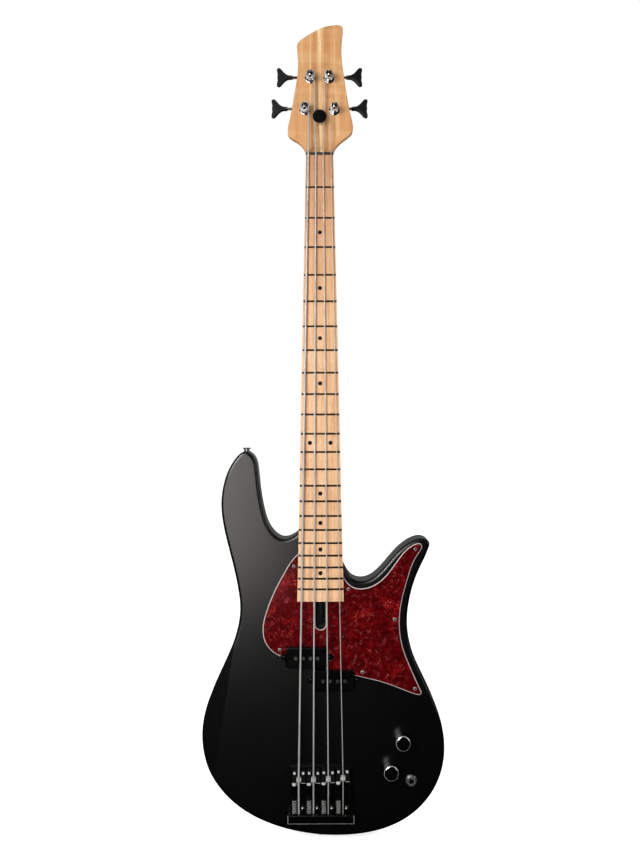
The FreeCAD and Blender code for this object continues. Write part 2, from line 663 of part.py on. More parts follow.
def neck_shaft():
    low = BOARD_END_Z + S.heel_length - S.heel_round * 2
    sections = [neck_section(low, S.neck_depth_heel - S.board_thickness),
                neck_section(NUT_Z, S.neck_depth_nut - S.board_thickness)]
    return solid("neck_shaft", Part.makeLoft(sections, True, True))


def neck_heel():
    heel_back = BOARD_TOP - S.heel_depth
    body = tapered("neck_heel", BOARD_END_Z, BOARD_END_Z + S.heel_length, sized(0), heel_back,
                   S.heel_depth - S.board_thickness)
    doc.recompute()
    base = body.Tip
    rear, end = -float(heel_back), float(BOARD_END_Z + S.heel_length)
    edges = edge_names(base.Shape, lambda edge: all(abs(point.Point.y - rear) < 1e-6 and
                                                    abs(point.Point.z - end) < 1e-6
                                                    for point in edge.Vertexes))
    fillet(body, base, edges, S.heel_round, "heel_shoulder")
    return body


def headstock():
    body = new_body("headstock")
    sketch = sketch_on(body, "XZ_Plane", "head_outline", HEAD_BACK)
    points = share_points(HEAD_SHARES, S.head_width, S.head_length, NUT_Z)
    curve(sketch, points)
    segments(sketch, [points[-1], points[0]])
    slab = pad(body, sketch, S.head_thickness, "head_slab")
    doc.recompute()
    rims = edge_names(slab.Shape, lambda edge: edge.Curve.TypeId == "Part::GeomBSplineCurve")
    fillet(body, slab, rims, S.head_round, "head_rims")
    return body


def nut_ramp():
    """Wood behind the nut, which falls in a hollow curve to the headstock's face."""
    body = new_body("nut_ramp")
    sketch = sketch_on(body, "YZ_Plane", "ramp_outline", -S.nut_width / 2)
    shelf, top = BOARD_TOP - S.nut_seat_depth, BOARD_TOP - S.ramp_top_drop
    behind = NUT_Z + S.nut_thickness
    foot = behind + S.ramp_length
    drop = float(top - HEAD_FACE)
    radius = (S.ramp_length.number ** 2 + drop ** 2) / (2 * drop)
    centre = Vector(-(HEAD_FACE.number + radius), float(foot), 0)
    sweep = math.asin(S.ramp_length.number / radius)
    middle = centre + Vector(radius * math.cos(sweep / 2), -radius * math.sin(sweep / 2), 0)
    first, last = Vector(-top.number, behind.number, 0), Vector(-HEAD_FACE.number, foot.number, 0)
    sketch.addGeometry(Part.Arc(first, middle, last))
    segments(sketch, [(-HEAD_FACE, foot), (-HEAD_BACK, foot), (-HEAD_BACK, NUT_Z), (-shelf, NUT_Z),
                      (-shelf, behind), (-top, behind)])
    pad(body, sketch, S.nut_width, "ramp_pad")
    return body


def make_neck():
    blank = joined("neck_blank", [neck_shaft(), neck_heel(), headstock(), nut_ramp()])
    tools = [block("rod_channel", S.rod_width + S.pocket_gap, S.rod_depth, S.board_length - S.rod_end_margin,
                   0, BOARD_UNDER, BOARD_END_Z)]
    tools.append(cylinder("rod_nut_mouth", S.rod_nut_radius + S.loose_gap, S.overrun * 2, 0, S.rod_nut_level,
                          BOARD_END_Z - S.overrun, UP))
    for side, out, z in TUNER_POSTS.values():
        tools.append(cylinder("tuner_hole", S.bushing_radius + S.seat_gap, S.head_thickness + S.overrun * 2,
                              out * side, HEAD_BACK - S.overrun, z, FRONT))
        for u, v in tuner_screw_places():
            tools.append(cylinder("tuner_pilot", S.wood_screw_radius + S.running_gap, S.wood_screw_length,
                                  (out + u) * side, HEAD_BACK, z + v, FRONT))
    tools.append(cylinder("retainer_pilot", S.retainer_stud + S.running_gap, S.retainer_stud_length, 0,
                          HEAD_FACE - S.retainer_stud_length, NUT_Z + S.retainer_height, FRONT))
    heel_back = BOARD_TOP - S.heel_depth
    for x, z in bolt_places():
        tools.append(cylinder("bolt_pilot", S.bolt_radius + S.running_gap, S.bolt_grip + S.overrun, x,
                              heel_back - S.overrun, z, FRONT))
    node("neck", cut("neck", blank, tools))


def board_cylinder(name, extra):
    """Long cylinder whose skin is the fingerboard's curved top."""
    radius = S.board_radius + extra
    return cylinder(name, radius, S.board_length + S.overrun * 4, 0, BOARD_TOP - S.board_radius,
                    BOARD_END_Z - S.overrun * 2, UP)


def make_fingerboard():
    slab = tapered("board_slab", BOARD_END_Z, NUT_Z, sized(0), BOARD_UNDER, S.board_thickness)
    blank = doc.addObject("Part::Common", "board_blank")
    blank.Base, blank.Tool = slab, board_cylinder("board_top", sized(0))
    dots = []
    for number in dot_frets():
        dots.append((0, dot_z(number)))
    for side in (-1, 1):
        dots.append((S.double_dot_offset * side, dot_z(DOUBLE_DOT_FRET)))
    plugs = [cylinder("dot_plug", S.dot_radius, S.dot_depth + S.overrun, x, BOARD_TOP - S.dot_depth, z, FRONT)
             for x, z in dots]
    for number in dot_frets() + [DOUBLE_DOT_FRET]:
        z = dot_z(number)
        plugs.append(cylinder("side_plug", S.side_dot_radius, S.side_dot_depth + S.overrun,
                              -board_width(z) / 2 - S.overrun, BOARD_TOP - S.side_dot_drop, z, RIGHT))
    plug_set = joined("dot_plugs", plugs)
    inlay = doc.addObject("Part::Common", "inlay_dots")
    inlay.Base, inlay.Tool = blank, plug_set
    node("inlay_dots", inlay)
    slots = [block("fret_slot", S.board_end_width + S.overrun * 2, S.board_thickness,
                   S.tang_width + S.seat_gap * 2, 0, BOARD_TOP + S.overrun * 2,
                   fret_z(number) - S.tang_width / 2 - S.seat_gap) for number in range(1, fret_count() + 1)]
    for slot, number in zip(slots, range(1, fret_count() + 1)):
        sag = crown(board_width(fret_z(number)) / 2)
        bind(slot, Width=S.overrun * 2 + S.tang_depth + S.seat_gap + sag)
    node("fingerboard", cut("fingerboard", blank, slots + [plug_set]))


def make_frets():
    """Each fret is a crowned bar with a tang, turned about the fingerboard's own axis."""
    frets = []
    axis = Vector(0, S.board_radius.number - BOARD_TOP.number, 0)
    for number in range(1, fret_count() + 1):
        z = float(fret_z(number))
        half, tang = S.fret_width.number / 2, S.tang_width.number / 2
        top, foot = -BOARD_TOP.number, -BOARD_TOP.number + S.tang_depth.number
        line = [Vector(0, top, z + half), Vector(0, top, z + tang), Vector(0, foot, z + tang),
                Vector(0, foot, z - tang), Vector(0, top, z - tang), Vector(0, top, z - half)]
        edges = [Part.LineSegment(a, b).toShape() for a, b in zip(line, line[1:])]
        edges.append(Part.Arc(line[-1], Vector(0, top - S.fret_height.number, z), line[0]).toShape())
        face = Part.Face(Part.Wire(edges))
        half_width = float(board_width(fret_z(number)) / 2 - S.fret_inset)
        swing = math.degrees(math.asin(half_width / S.board_radius.number))
        face.rotate(axis, Vector(0, 0, 1), -swing)
        frets.append(face.revolve(axis, Vector(0, 0, 1), swing * 2))
    group("frets", frets)


def string_level(name, z):
    """Level of a string's centre between nut and saddle."""
    share = (NUT_Z - z) / SCALE
    action = S.nut_action + (S.saddle_action - S.nut_action) * share
    return BOARD_TOP + action + STRING_RADII[name] - crown(string_x(name, z))


def make_nut():
    blank = block("nut_block", S.nut_width, S.nut_seat_depth + S.nut_action + S.string_e_radius,
                  S.nut_thickness, 0, BOARD_TOP + S.nut_action + S.string_e_radius, NUT_Z)
    rounded = doc.addObject("Part::Common", "nut_rounded")
    rounded.Base = blank
    rounded.Tool = board_cylinder("nut_top", S.nut_action + S.string_d_radius)
    grooves = []
    for name in STRINGS:
        grooves.append(cylinder("nut_groove", STRING_RADII[name] + S.pocket_gap,
                                S.nut_thickness + S.overrun * 2,
                                string_x(name, NUT_Z), string_level(name, NUT_Z), NUT_Z - S.overrun, UP))
    node("nut", cut("nut", rounded, grooves))


def make_truss_rod():
    rod = block("truss_rod", S.rod_width, S.rod_depth - S.pocket_gap,
                S.board_length - S.rod_end_margin - S.overrun,
                0, BOARD_UNDER, BOARD_END_Z + S.overrun)
    node("truss_rod", rod)
    length = S.rod_nut_length - S.seat_gap
    nut = turned("truss_rod_nut", [(0, 0), (S.rod_nut_radius - S.loose_gap, 0),
                                   (S.rod_nut_radius, S.loose_gap), (S.rod_nut_radius, length), (0, length)])
    place(nut, 0, S.rod_nut_level, BOARD_END_Z + S.overrun - S.rod_nut_length, SPIN_UP)
    doc.recompute()
    key = doc.addObject("Part::Prism", "rod_key")
    key.Polygon = 6
    bind(key, Circumradius=S.rod_nut_key, Height=S.rod_key_depth)
    place(key, 0, S.rod_nut_level, BOARD_END_Z + S.overrun - S.rod_nut_length, UP)
    node("truss_rod_nut", cut("rod_nut_body", nut, [key]))


def make_retainer():
    under = retainer_level() + S.string_a_radius + S.seat_gap - HEAD_FACE
    top = under + S.retainer_thickness
    rim = S.retainer_thickness / 3
    profile = [(0, -S.retainer_stud_length), (S.retainer_stud, -S.retainer_stud_length), (S.retainer_stud, 0),
               (S.retainer_stem, 0), (S.retainer_stem, under),
               (S.retainer_radius - rim, under + S.retainer_dish),
               (S.retainer_radius, under + S.retainer_dish + rim), (S.retainer_radius, top - rim / 2),
               (S.retainer_radius - rim / 2, top), (0, top)]
    body = turned("string_retainer", profile)
    node("string_retainer", place(body, 0, HEAD_FACE, NUT_Z + S.retainer_height, SPIN_FRONT))


def retainer_level():
    return BOARD_TOP - S.retainer_press


def make_neck_bolts():
    head = S.bolt_head_height
    floor = S.ferrule_depth - S.ferrule_floor
    grip = S.body_thickness - S.pocket_depth + S.bolt_grip - floor
    bolt = turned("bolt_master", [(0, -head), (S.bolt_head_radius - head / 3, -head),
                                  (S.bolt_head_radius, -head * 2 / 3), (S.bolt_head_radius, 0),
                                  (S.bolt_radius, 0), (S.bolt_radius, grip), (0, grip)])
    wide, narrow = S.bolt_head_radius + S.pocket_gap, S.bolt_radius + S.pocket_gap
    ferrule = turned("ferrule_master", [(narrow, floor), (wide, floor), (wide, 0), (S.ferrule_radius, 0),
                                        (S.ferrule_radius, S.ferrule_depth), (narrow, S.ferrule_depth)])
    doc.recompute()
    group("neck_bolts", [placed(bolt, x, floor - HALF_BODY, z, SPIN_FRONT) for x, z in bolt_places()])
    group("neck_ferrules", [placed(ferrule, x, -HALF_BODY, z, SPIN_FRONT) for x, z in bolt_places()])


# Pickguard, pickups and their screws

def pickup_shadow(name, x, z):
    """Space that a pickup's cover and ears take out of the guard."""
    tools = [block("cover_space_" + name, S.pickup_length + S.loose_gap * 2,
                   S.guard_thickness + S.overrun * 2,
                   S.pickup_breadth + S.loose_gap * 2, x, GUARD_TOP + S.overrun,
                   z - S.pickup_breadth / 2 - S.loose_gap)]
    for side in (-1, 1):
        tools.append(cylinder("ear_space_" + name, S.ear_radius + S.loose_gap,
                              S.guard_thickness + S.overrun * 2,
                              x + S.ear_offset * side, HALF_BODY - S.overrun, z, FRONT))
    return tools


def drawn_in(points, margin):
    """Closed outline, listed anticlockwise, moved inwards by a margin."""
    moved = []
    for index, (x, y) in enumerate(points):
        before, after = points[index - 1], points[(index + 1) % len(points)]
        coming = Vector(float(x - before[0]), float(y - before[1]), 0).normalize()
        going = Vector(float(after[0] - x), float(after[1] - y), 0).normalize()
        along = coming.add(going).normalize()
        step = margin / along.dot(going)
        moved.append((x - step * along.y, y + step * along.x))
    return moved


def guard_sketch(body, name, level, margin):
    """The guard's outline at a level, drawn in by a margin."""
    shares = GUARD_LOBE_SHARES + GUARD_STEP_SHARES + GUARD_WING_SHARES
    points = drawn_in(share_points(shares, GUARD_WIDTH, GUARD_LENGTH, GUARD_LOW_Z), margin)
    lobe_end = len(GUARD_LOBE_SHARES)
    wing_start = lobe_end + len(GUARD_STEP_SHARES)
    sketch = sketch_on(body, "XZ_Plane", name, level)
    curve(sketch, points[:lobe_end])
    segments(sketch, points[lobe_end - 1:wing_start + 1])
    curve(sketch, points[wing_start:])
    segments(sketch, [points[-1], points[0]])
    return sketch


def slot_bevel(low, high):
    """Sloping sides of the guard's truss rod slot: a cone at its end and a wedge along it."""
    radius = S.access_width / 2
    height = S.guard_bevel + S.overrun
    cone = doc.addObject("Part::Cone", "slot_end_bevel")
    bind(cone, Radius1=radius, Radius2=radius + height, Height=height)
    place(cone, 0, GUARD_TOP - S.guard_bevel, low, FRONT)
    wedge = doc.addObject("Part::Wedge", "slot_way_bevel")
    bind(wedge, Xmin=-radius - height, Xmax=radius + height, X2min=-radius, X2max=radius,
         Ymin=-GUARD_TOP - S.overrun, Ymax=S.guard_bevel - GUARD_TOP, Zmin=low, Zmax=high, Z2min=low,
         Z2max=high)
    return [cone, wedge]


def make_pickguard():
    body = new_body("guard_blank")
    pad(body, guard_sketch(body, "guard_outline", HALF_BODY, sized(0)), S.guard_thickness - S.guard_bevel,
        "guard_slab")
    bevel = body.newObject("PartDesign::AdditiveLoft", "guard_bevel")
    bevel.Profile = guard_sketch(body, "guard_rim", GUARD_TOP - S.guard_bevel, sized(0))
    bevel.Sections = [guard_sketch(body, "guard_face", GUARD_TOP, S.guard_bevel)]
    bevel.Ruled = True
    tools = [tapered("guard_neck_space", BOARD_END_Z - S.loose_gap, NUT_Z - S.board_length / 2, S.loose_gap,
                     HALF_BODY - S.overrun, S.body_thickness)]
    for name, (x, z) in PICKUPS.items():
        tools += pickup_shadow(name, x, z)
    slot_low = BOARD_END_Z - S.access_length + S.access_width / 2
    tools.append(cylinder("slot_end", S.access_width / 2, S.guard_thickness + S.overrun * 2, 0,
                          HALF_BODY - S.overrun, slot_low, FRONT))
    tools.append(block("slot_way", S.access_width, S.guard_thickness + S.overrun * 2,
                       S.access_length - S.access_width / 2 + S.overrun, 0, GUARD_TOP + S.overrun, slot_low))
    tools += slot_bevel(slot_low, BOARD_END_Z)
    for x, z in guard_screw_places():
        tools.append(cylinder("guard_hole", S.wood_screw_radius + S.running_gap,
                              S.guard_thickness + S.overrun * 2, x, HALF_BODY - S.overrun, z, FRONT))
    node("pickguard", cut("pickguard", body, tools))


def wood_screw(name, radius, length, head, dome):
    """Dome-headed screw: shank below its seat, head above it."""
    profile = [(0, -length), (radius / 2, -length), (radius, -length + radius * 2), (radius, 0), (head, 0),
               (head * 0.94, dome * 0.45), (head * 0.66, dome * 0.85), (head * 0.3, dome), (0, dome)]
    return turned(name, profile)


def make_panel_screws():
    screw = wood_screw("panel_screw", S.wood_screw_radius, S.wood_screw_length - S.loose_gap,
                       S.wood_screw_head, S.wood_screw_dome)
    doc.recompute()
    shapes = [placed(screw, x, GUARD_TOP, z, SPIN_FRONT) for x, z in guard_screw_places()]
    shapes += [placed(screw, x, -HALF_BODY, z, SPIN_REAR) for x, z in cover_screw_places()]
    group("panel_screws", shapes)


def pickup_cover(name):
    body = new_body(name)
    half_length, half_breadth = S.pickup_length / 2, S.pickup_breadth / 2
    sketch = polygon(sketch_on(body, "XZ_Plane", name + "_outline"),
                     [(-half_length, -half_breadth), (half_length, -half_breadth),
                      (half_length, half_breadth), (-half_length, half_breadth)])
    shell = pad(body, sketch, S.pickup_height, name + "_block")
    doc.recompute()
    corners = edge_names(shell.Shape, lambda edge: abs(edge.tangentAt(edge.FirstParameter).y) > 0.9)
    rounded = fillet(body, shell, corners, S.pickup_corner, name + "_corners")
    doc.recompute()
    top = -S.pickup_height.number
    rims = edge_names(rounded.Shape,
                      lambda edge: all(abs(point.Point.y - top) < 1e-6 for point in edge.Vertexes))
    fillet(body, rounded, rims, S.pickup_edge, name + "_rims")
    floor = S.pickup_height - S.pickup_rise
    ears = sketch_on(body, "XZ_Plane", name + "_ears", floor)
    for side in (-1, 1):
        circle(ears, S.ear_offset * side, 0, S.ear_radius)
    pad(body, ears, S.ear_thickness, name + "_ear_pad")
    hollow = sketch_on(body, "XZ_Plane", name + "_hollow")
    inner_length, inner_breadth = half_length - S.pickup_wall, half_breadth - S.pickup_wall
    polygon(hollow, [(-inner_length, -inner_breadth), (inner_length, -inner_breadth),
                     (inner_length, inner_breadth), (-inner_length, inner_breadth)])
    pocket(body, hollow, S.pickup_height - S.pickup_wall, name + "_hollow_cut", True)
    holes = sketch_on(body, "XZ_Plane", name + "_holes")
    for step in (-1.5, -0.5, 0.5, 1.5):
        circle(holes, S.pole_pitch * step, 0, S.pole_radius + S.running_gap)
    for side in (-1, 1):
        circle(holes, S.ear_offset * side, 0, S.ear_screw_radius + S.running_gap)
    pocket(body, holes, S.pickup_height + S.overrun, name + "_hole_cut", True)
    return body


def coil(name):
    """Racetrack bobbin with its winding, pierced for the poles."""
    body = new_body(name)
    half_length, half_breadth = S.coil_length / 2, S.coil_breadth / 2
    sketch = polygon(sketch_on(body, "XZ_Plane", name + "_outline"),
                     [(-half_length, -half_breadth), (half_length, -half_breadth),
                      (half_length, half_breadth), (-half_length, half_breadth)])
    slab = pad(body, sketch, S.coil_height, name + "_block")
    doc.recompute()
    corners = edge_names(slab.Shape, lambda edge: abs(edge.tangentAt(edge.FirstParameter).y) > 0.9)
    fillet(body, slab, corners, half_breadth - S.seat_gap, name + "_ends")
    holes = sketch_on(body, "XZ_Plane", name + "_holes")
    for step in (-1.5, -0.5, 0.5, 1.5):
        circle(holes, S.pole_pitch * step, 0, S.pole_radius)
    pocket(body, holes, S.coil_height + S.overrun, name + "_hole_cut", True)
    return body


def make_pickups():
    cover, winding = pickup_cover("pickup_cover_master"), coil("coil_master")
    top = HALF_BODY + S.pickup_rise
    cover_low = top - S.pickup_height
    coil_low = top - S.pickup_wall - S.coil_height
    pole_length = S.coil_height + S.pickup_wall + S.pole_proud
    pole = cylinder("pole_master", S.pole_radius, pole_length, 0, 0, 0, FRONT)
    floor = HALF_BODY - S.route_depth
    foam = block("foam_master", S.foam_length, coil_low - floor, S.foam_breadth, 0, 0, -S.foam_breadth / 2)
    screw = wood_screw("ear_screw_master", S.ear_screw_radius, S.ear_screw_length - S.loose_gap,
                       S.ear_screw_head, S.wood_screw_dome)
    doc.recompute()
    covers, coils, poles, pads, screws = [], [], [], [], []
    for x, z in PICKUPS.values():
        covers.append(placed(cover, x, cover_low, z, UP))
        coils.append(placed(winding, x, coil_low, z, UP))
        pads.append(placed(foam, x - S.foam_length / 2, coil_low, z - S.foam_breadth / 2, UP))
        for step in (-1.5, -0.5, 0.5, 1.5):
            poles.append(placed(pole, x + S.pole_pitch * step, coil_low, z, FRONT))
        for side in (-1, 1):
            screws.append(placed(screw, x + S.ear_offset * side, HALF_BODY + S.ear_thickness, z, SPIN_FRONT))
    group("pickup_covers", covers)
    group("pickup_coils", coils)
    group("pickup_foam", pads)
    group("pole_pieces", poles)
    group("pickup_screws", screws)


# Bridge

def saddle_z(name):
    """Height of the point where a string crosses its saddle."""
    return SADDLE_LINE_Z - S.saddle_setback - S.saddle_setback_step * (1.5 - STRING_PLACES[name])


def make_bridge_plate():
    low = TAIL + S.tail_low
    length = S.bridge_top - S.tail_low
    plate = block("bridge_sheet", S.bridge_width, S.bridge_thickness, length, 0, PLATE_TOP, low)
    parts = [plate]
    for side in (-1, 1):
        parts.append(block("bridge_rail", S.rail_width, S.rail_height, length - S.tail_length,
                           (S.bridge_width - S.rail_width) / 2 * side, PLATE_TOP + S.rail_height,
                           TAIL_FRONT_Z))
    holes = [cylinder("mount_hole", S.mount_screw_radius + S.running_gap, S.bridge_thickness + S.overrun * 2,
                      x, HALF_BODY - S.overrun, z, FRONT) for x, z in mount_screw_places()]
    node("bridge_plate", cut("bridge_plate", joined("bridge_tray", parts), holes))


def make_tail_block():
    low = TAIL + S.tail_low
    body = new_body("tail_blank")
    sketch = polygon(sketch_on(body, "XZ_Plane", "tail_outline", PLATE_TOP),
                     [(-S.tail_width / 2, low), (S.tail_width / 2, low), (S.tail_width / 2, TAIL_FRONT_Z),
                      (-S.tail_width / 2, TAIL_FRONT_Z)])
    slab = pad(body, sketch, S.tail_height, "tail_slab")
    doc.recompute()
    top = -float(PLATE_TOP + S.tail_height)
    rims = edge_names(slab.Shape,
                      lambda edge: all(abs(point.Point.y - top) < 1e-6 for point in edge.Vertexes))
    fillet(body, slab, rims, S.tail_round, "tail_rims")
    tools = []
    level = PLATE_TOP + S.anchor_level
    for name in STRINGS:
        x = S.bridge_spacing * STRING_PLACES[name]
        tools.append(cylinder("anchor_hole", S.anchor_bore, S.tail_length + S.overrun * 2, x, level,
                              low - S.overrun, UP))
        tools.append(cylinder("ball_seat", S.ball_radius + S.pocket_gap, S.tail_length / 2 + S.overrun, x,
                              level, low - S.overrun, UP))
        x = x - S.intonation_offset
        tools.append(cylinder("screw_hole", S.screw_radius + S.running_gap, S.tail_length + S.overrun * 2, x,
                              SCREW_LEVEL, low - S.overrun, UP))
        tools.append(cylinder("screw_head_seat", S.screw_head_radius + S.loose_gap,
                              S.screw_head_height + S.loose_gap + S.overrun, x, SCREW_LEVEL, low - S.overrun,
                              UP))
    node("bridge_tail_block", cut("bridge_tail_block", body, tools))


def make_bridge_screws():
    screw = wood_screw("mount_screw_master", S.mount_screw_radius, S.mount_screw_length - S.loose_gap,
                       S.mount_screw_head, S.mount_screw_dome)
    doc.recompute()
    group("bridge_screws", [placed(screw, x, PLATE_TOP, z, SPIN_FRONT) for x, z in mount_screw_places()])


def make_saddle(name):
    """Block with a roller for the string, a boss for its screw and two height screws."""
    x = S.bridge_spacing * STRING_PLACES[name]
    z = saddle_z(name)
    contact = string_level(name, z) - STRING_RADII[name] - S.roller_gap
    roller_level = contact - S.roller_radius + S.roller_groove
    low = contact - S.saddle_rise
    high = low + S.saddle_block_height
    block_low = z + S.saddle_lead - S.saddle_length
    screw_x = x - S.intonation_offset
    boss_low = block_low - S.boss_length
    base = block("saddle_block_" + name, S.saddle_width, S.saddle_block_height, S.saddle_length, x, high,
                 block_low)
    boss = cylinder("saddle_boss_" + name, S.boss_radius, S.boss_length + S.overrun, screw_x, SCREW_LEVEL,
                    boss_low, UP)
    way_width = S.roller_length + S.seat_gap * 2
    tools = [cylinder("roller_space_" + name, S.roller_radius + S.seat_gap, way_width, x - way_width / 2,
                      roller_level, z, RIGHT)]
    tools.append(block("string_way_" + name, way_width, S.saddle_block_height / 2 + S.overrun,
                       S.saddle_length + S.overrun * 2, x, high + S.overrun, block_low - S.overrun))
    screw_end = z + S.screw_tip + S.screw_end_gap
    tools.append(cylinder("screw_way_" + name, S.screw_radius + S.running_gap,
                          screw_end - boss_low + S.overrun, screw_x, SCREW_LEVEL, boss_low - S.overrun, UP))
    screw_z = z + S.saddle_lead - S.height_screw_lead
    for side in (-1, 1):
        tools.append(cylinder("height_way_" + name, S.height_screw_radius,
                              S.saddle_block_height + S.overrun * 2,
                              x + S.height_screw_offset * side, low - S.overrun, screw_z, FRONT))
    saddle = cut("saddle_cut_" + name, joined("saddle_parts_" + name, [base, boss]), tools)
    length, floor = S.roller_length, S.roller_radius - S.roller_groove
    roller = turned("roller_" + name, [(0, 0), (S.roller_radius, 0), (S.roller_radius, length * 0.2),
                                       (floor, length * 0.26), (floor, length * 0.74),
                                       (S.roller_radius, length * 0.8), (S.roller_radius, length),
                                       (0, length)])
    place(roller, x - length / 2, roller_level, z, SPIN_RIGHT)
    foot = PLATE_TOP + S.seat_gap
    screws = [cylinder("height_screw_" + name, S.height_screw_radius, high + S.height_screw_proud - foot,
                       x + S.height_screw_offset * side, foot, screw_z, FRONT) for side in (-1, 1)]
    doc.recompute()
    group("saddle_" + name, [saddle.Shape, roller.Shape] + [screw.Shape for screw in screws])


def make_intonation_screw(name):
    x = S.bridge_spacing * STRING_PLACES[name] - S.intonation_offset
    low = TAIL + S.tail_low + S.loose_gap / 3
    collar = S.tail_length - S.loose_gap / 3 + S.spring_length + S.loose_gap
    tip = saddle_z(name) + S.screw_tip - low
    head = S.screw_head_height
    body = turned("intonation_screw_" + name,
                  [(0, 0), (S.screw_head_radius, 0), (S.screw_head_radius, head), (S.screw_radius, head),
                   (S.screw_radius, collar), (S.collar_disc_radius, collar),
                   (S.collar_disc_radius, collar + S.collar_disc), (S.screw_radius, collar + S.collar_disc),
                   (S.screw_radius, tip), (0, tip)])
    node("intonation_screw_" + name, place(body, x, SCREW_LEVEL, low, SPIN_UP))


# Wound forms: paths of straight runs and arcs, swept by a round section

def biarc(start, start_way, end, end_way):
    """Two tangent arcs from one point and direction to another."""
    chord = end.sub(start)
    ways = start_way + end_way
    a = 2 * (start_way.dot(end_way) - 1)
    b = -2 * chord.dot(ways)
    c = chord.dot(chord)
    reach = -c / b if abs(a) < 1e-9 else (-b - math.sqrt(b * b - 4 * a * c)) / (2 * a)
    first, second = start + start_way * reach, end - end_way * reach
    joint = (first + second) * 0.5
    return [tangent_arc(start, first, joint), tangent_arc(joint, second, end)]


def tangent_arc(start, corner, end):
    """Arc between two points whose tangents meet at a corner."""
    middle = (start + end) * 0.5
    half = end.sub(start).Length / 2
    rise = corner.sub(middle).Length
    if rise < 1e-7:
        return Part.LineSegment(start, end).toShape()
    sagitta = half * (corner.sub(start).Length - half) / rise
    return Part.Arc(start, middle + corner.sub(middle) * (sagitta / rise), end).toShape()


def rounded_run(points, radii):
    """Straight runs through points, with an arc of its own radius at each inner point."""
    edges, here = [], points[0]
    for before, corner, after, radius in zip(points, points[1:], points[2:], radii):
        back, ahead = before.sub(corner).normalize(), after.sub(corner).normalize()
        half_angle = back.getAngle(ahead) / 2
        reach = radius / math.tan(half_angle)
        first, last = corner + back * reach, corner + ahead * reach
        edges.append(Part.LineSegment(here, first).toShape())
        edges.append(tangent_arc(first, corner, last))
        here = last
    edges.append(Part.LineSegment(here, points[-1]).toShape())
    return edges


def tube(edges, radius):
    """Round section swept along a path."""
    path = Part.Wire(edges)
    first = edges[0]
    start, way = first.valueAt(first.FirstParameter), first.tangentAt(first.FirstParameter)
    section = Part.Wire(Part.Circle(start, way, float(radius)).toShape())
    sweep = Part.BRepOffsetAPI.MakePipeShell(path)
    sweep.add(section)
    sweep.build()
    sweep.makeSolid()
    shape = sweep.shape()
    ideal = math.pi * float(radius) ** 2 * path.Length
    return shape, abs(shape.Volume / ideal - 1)


def least_gap(edges, radius):
    """Smallest distance between turns of a winding, measured on points along it."""
    points = [edge.valueAt(edge.FirstParameter + (edge.LastParameter - edge.FirstParameter) * step / 8)
              for edge in edges for step in range(8)]
    turn = 16 * 4
    gaps = [first.sub(second).Length for index, first in enumerate(points)
            for second in points[index + turn // 2:]]
    return min(gaps) - 2 * float(radius)


def helix_stations(centre, across, up, axis, radius, rise, quarters, first_quarter=0):
    """Points and directions on a helix, one for each quarter turn."""
    stations = []
    for step in range(first_quarter, quarters + 1):
        angle = step * math.pi / 2
        out = across * math.cos(angle) + up * math.sin(angle)
        way = up * math.cos(angle) - across * math.sin(angle)
        lean = axis * (rise * 2 / math.pi)
        stations.append((centre + out * radius + axis * (rise * step), (way * radius + lean).normalize()))
    return stations


def make_strings():
    shapes = []
    for name in STRINGS:
        side, out, post_z = TUNER_POSTS[name]
        radius = STRING_RADII[name]
        x_bridge = S.bridge_spacing * STRING_PLACES[name]
        z_saddle = saddle_z(name)
        anchor_level = PLATE_TOP + S.anchor_level
        ball_z = TAIL + S.tail_low + S.tail_length / 2
        points = [at(x_bridge, anchor_level, ball_z), at(x_bridge, anchor_level, TAIL_FRONT_Z),
                  at(string_x(name, z_saddle), string_level(name, z_saddle), z_saddle),
                  at(string_x(name, NUT_Z), string_level(name, NUT_Z), NUT_Z + S.nut_thickness / 2)]
        bends = [S.string_bend.number / 2, S.saddle_bend.number, S.string_bend.number]
        centre_x = float(out) * side
        winding = float(S.winding_radius + S.loose_gap + radius)
        low, high = float(HEAD_FACE + S.wrap_low), float(HEAD_FACE + S.wrap_high)
        touch = Vector(centre_x - side * winding, -low, float(post_z))
        if name in ("a", "d"):
            retained = NUT_Z + S.retainer_height
            share = float(S.retainer_height) / float(post_z - NUT_Z)
            x_held = float(string_x(name, NUT_Z)) * (1 - share) + touch.x * share
            level = retainer_level() + S.string_a_radius - radius
            points.append(at(x_held, level, retained))
            bends.append(S.string_bend.number * 2)
        points.append(touch)
        runs = rounded_run(points, bends)
        last = runs[-1]
        approach = last.tangentAt(last.LastParameter)
        rise = (high - low) / WRAP_QUARTERS
        across, up, axis = Vector(-side, 0, 0), Vector(0, 0, 1), Vector(0, -1, 0)
        stations = helix_stations(Vector(centre_x, -low, float(post_z)), across, up, axis, winding, rise,
                                  WRAP_QUARTERS)
        stations[0] = (touch, approach)
        wraps = []
        for (start, way), (end, end_way) in zip(stations, stations[1:]):
            wraps += biarc(start, way, end, end_way)
        shape, error = tube(runs + wraps, radius)
        print("string", name, "gap between wraps %.2f mm" % least_gap(wraps, radius),
              "volume error %.4f" % error)
        ball = Part.makeCylinder(float(S.ball_radius), float(S.ball_radius * 2),
                                 at(x_bridge, anchor_level, ball_z - S.ball_radius * 2), Vector(0, 0, 1))
        shapes += [shape, ball]
    group("strings", shapes)


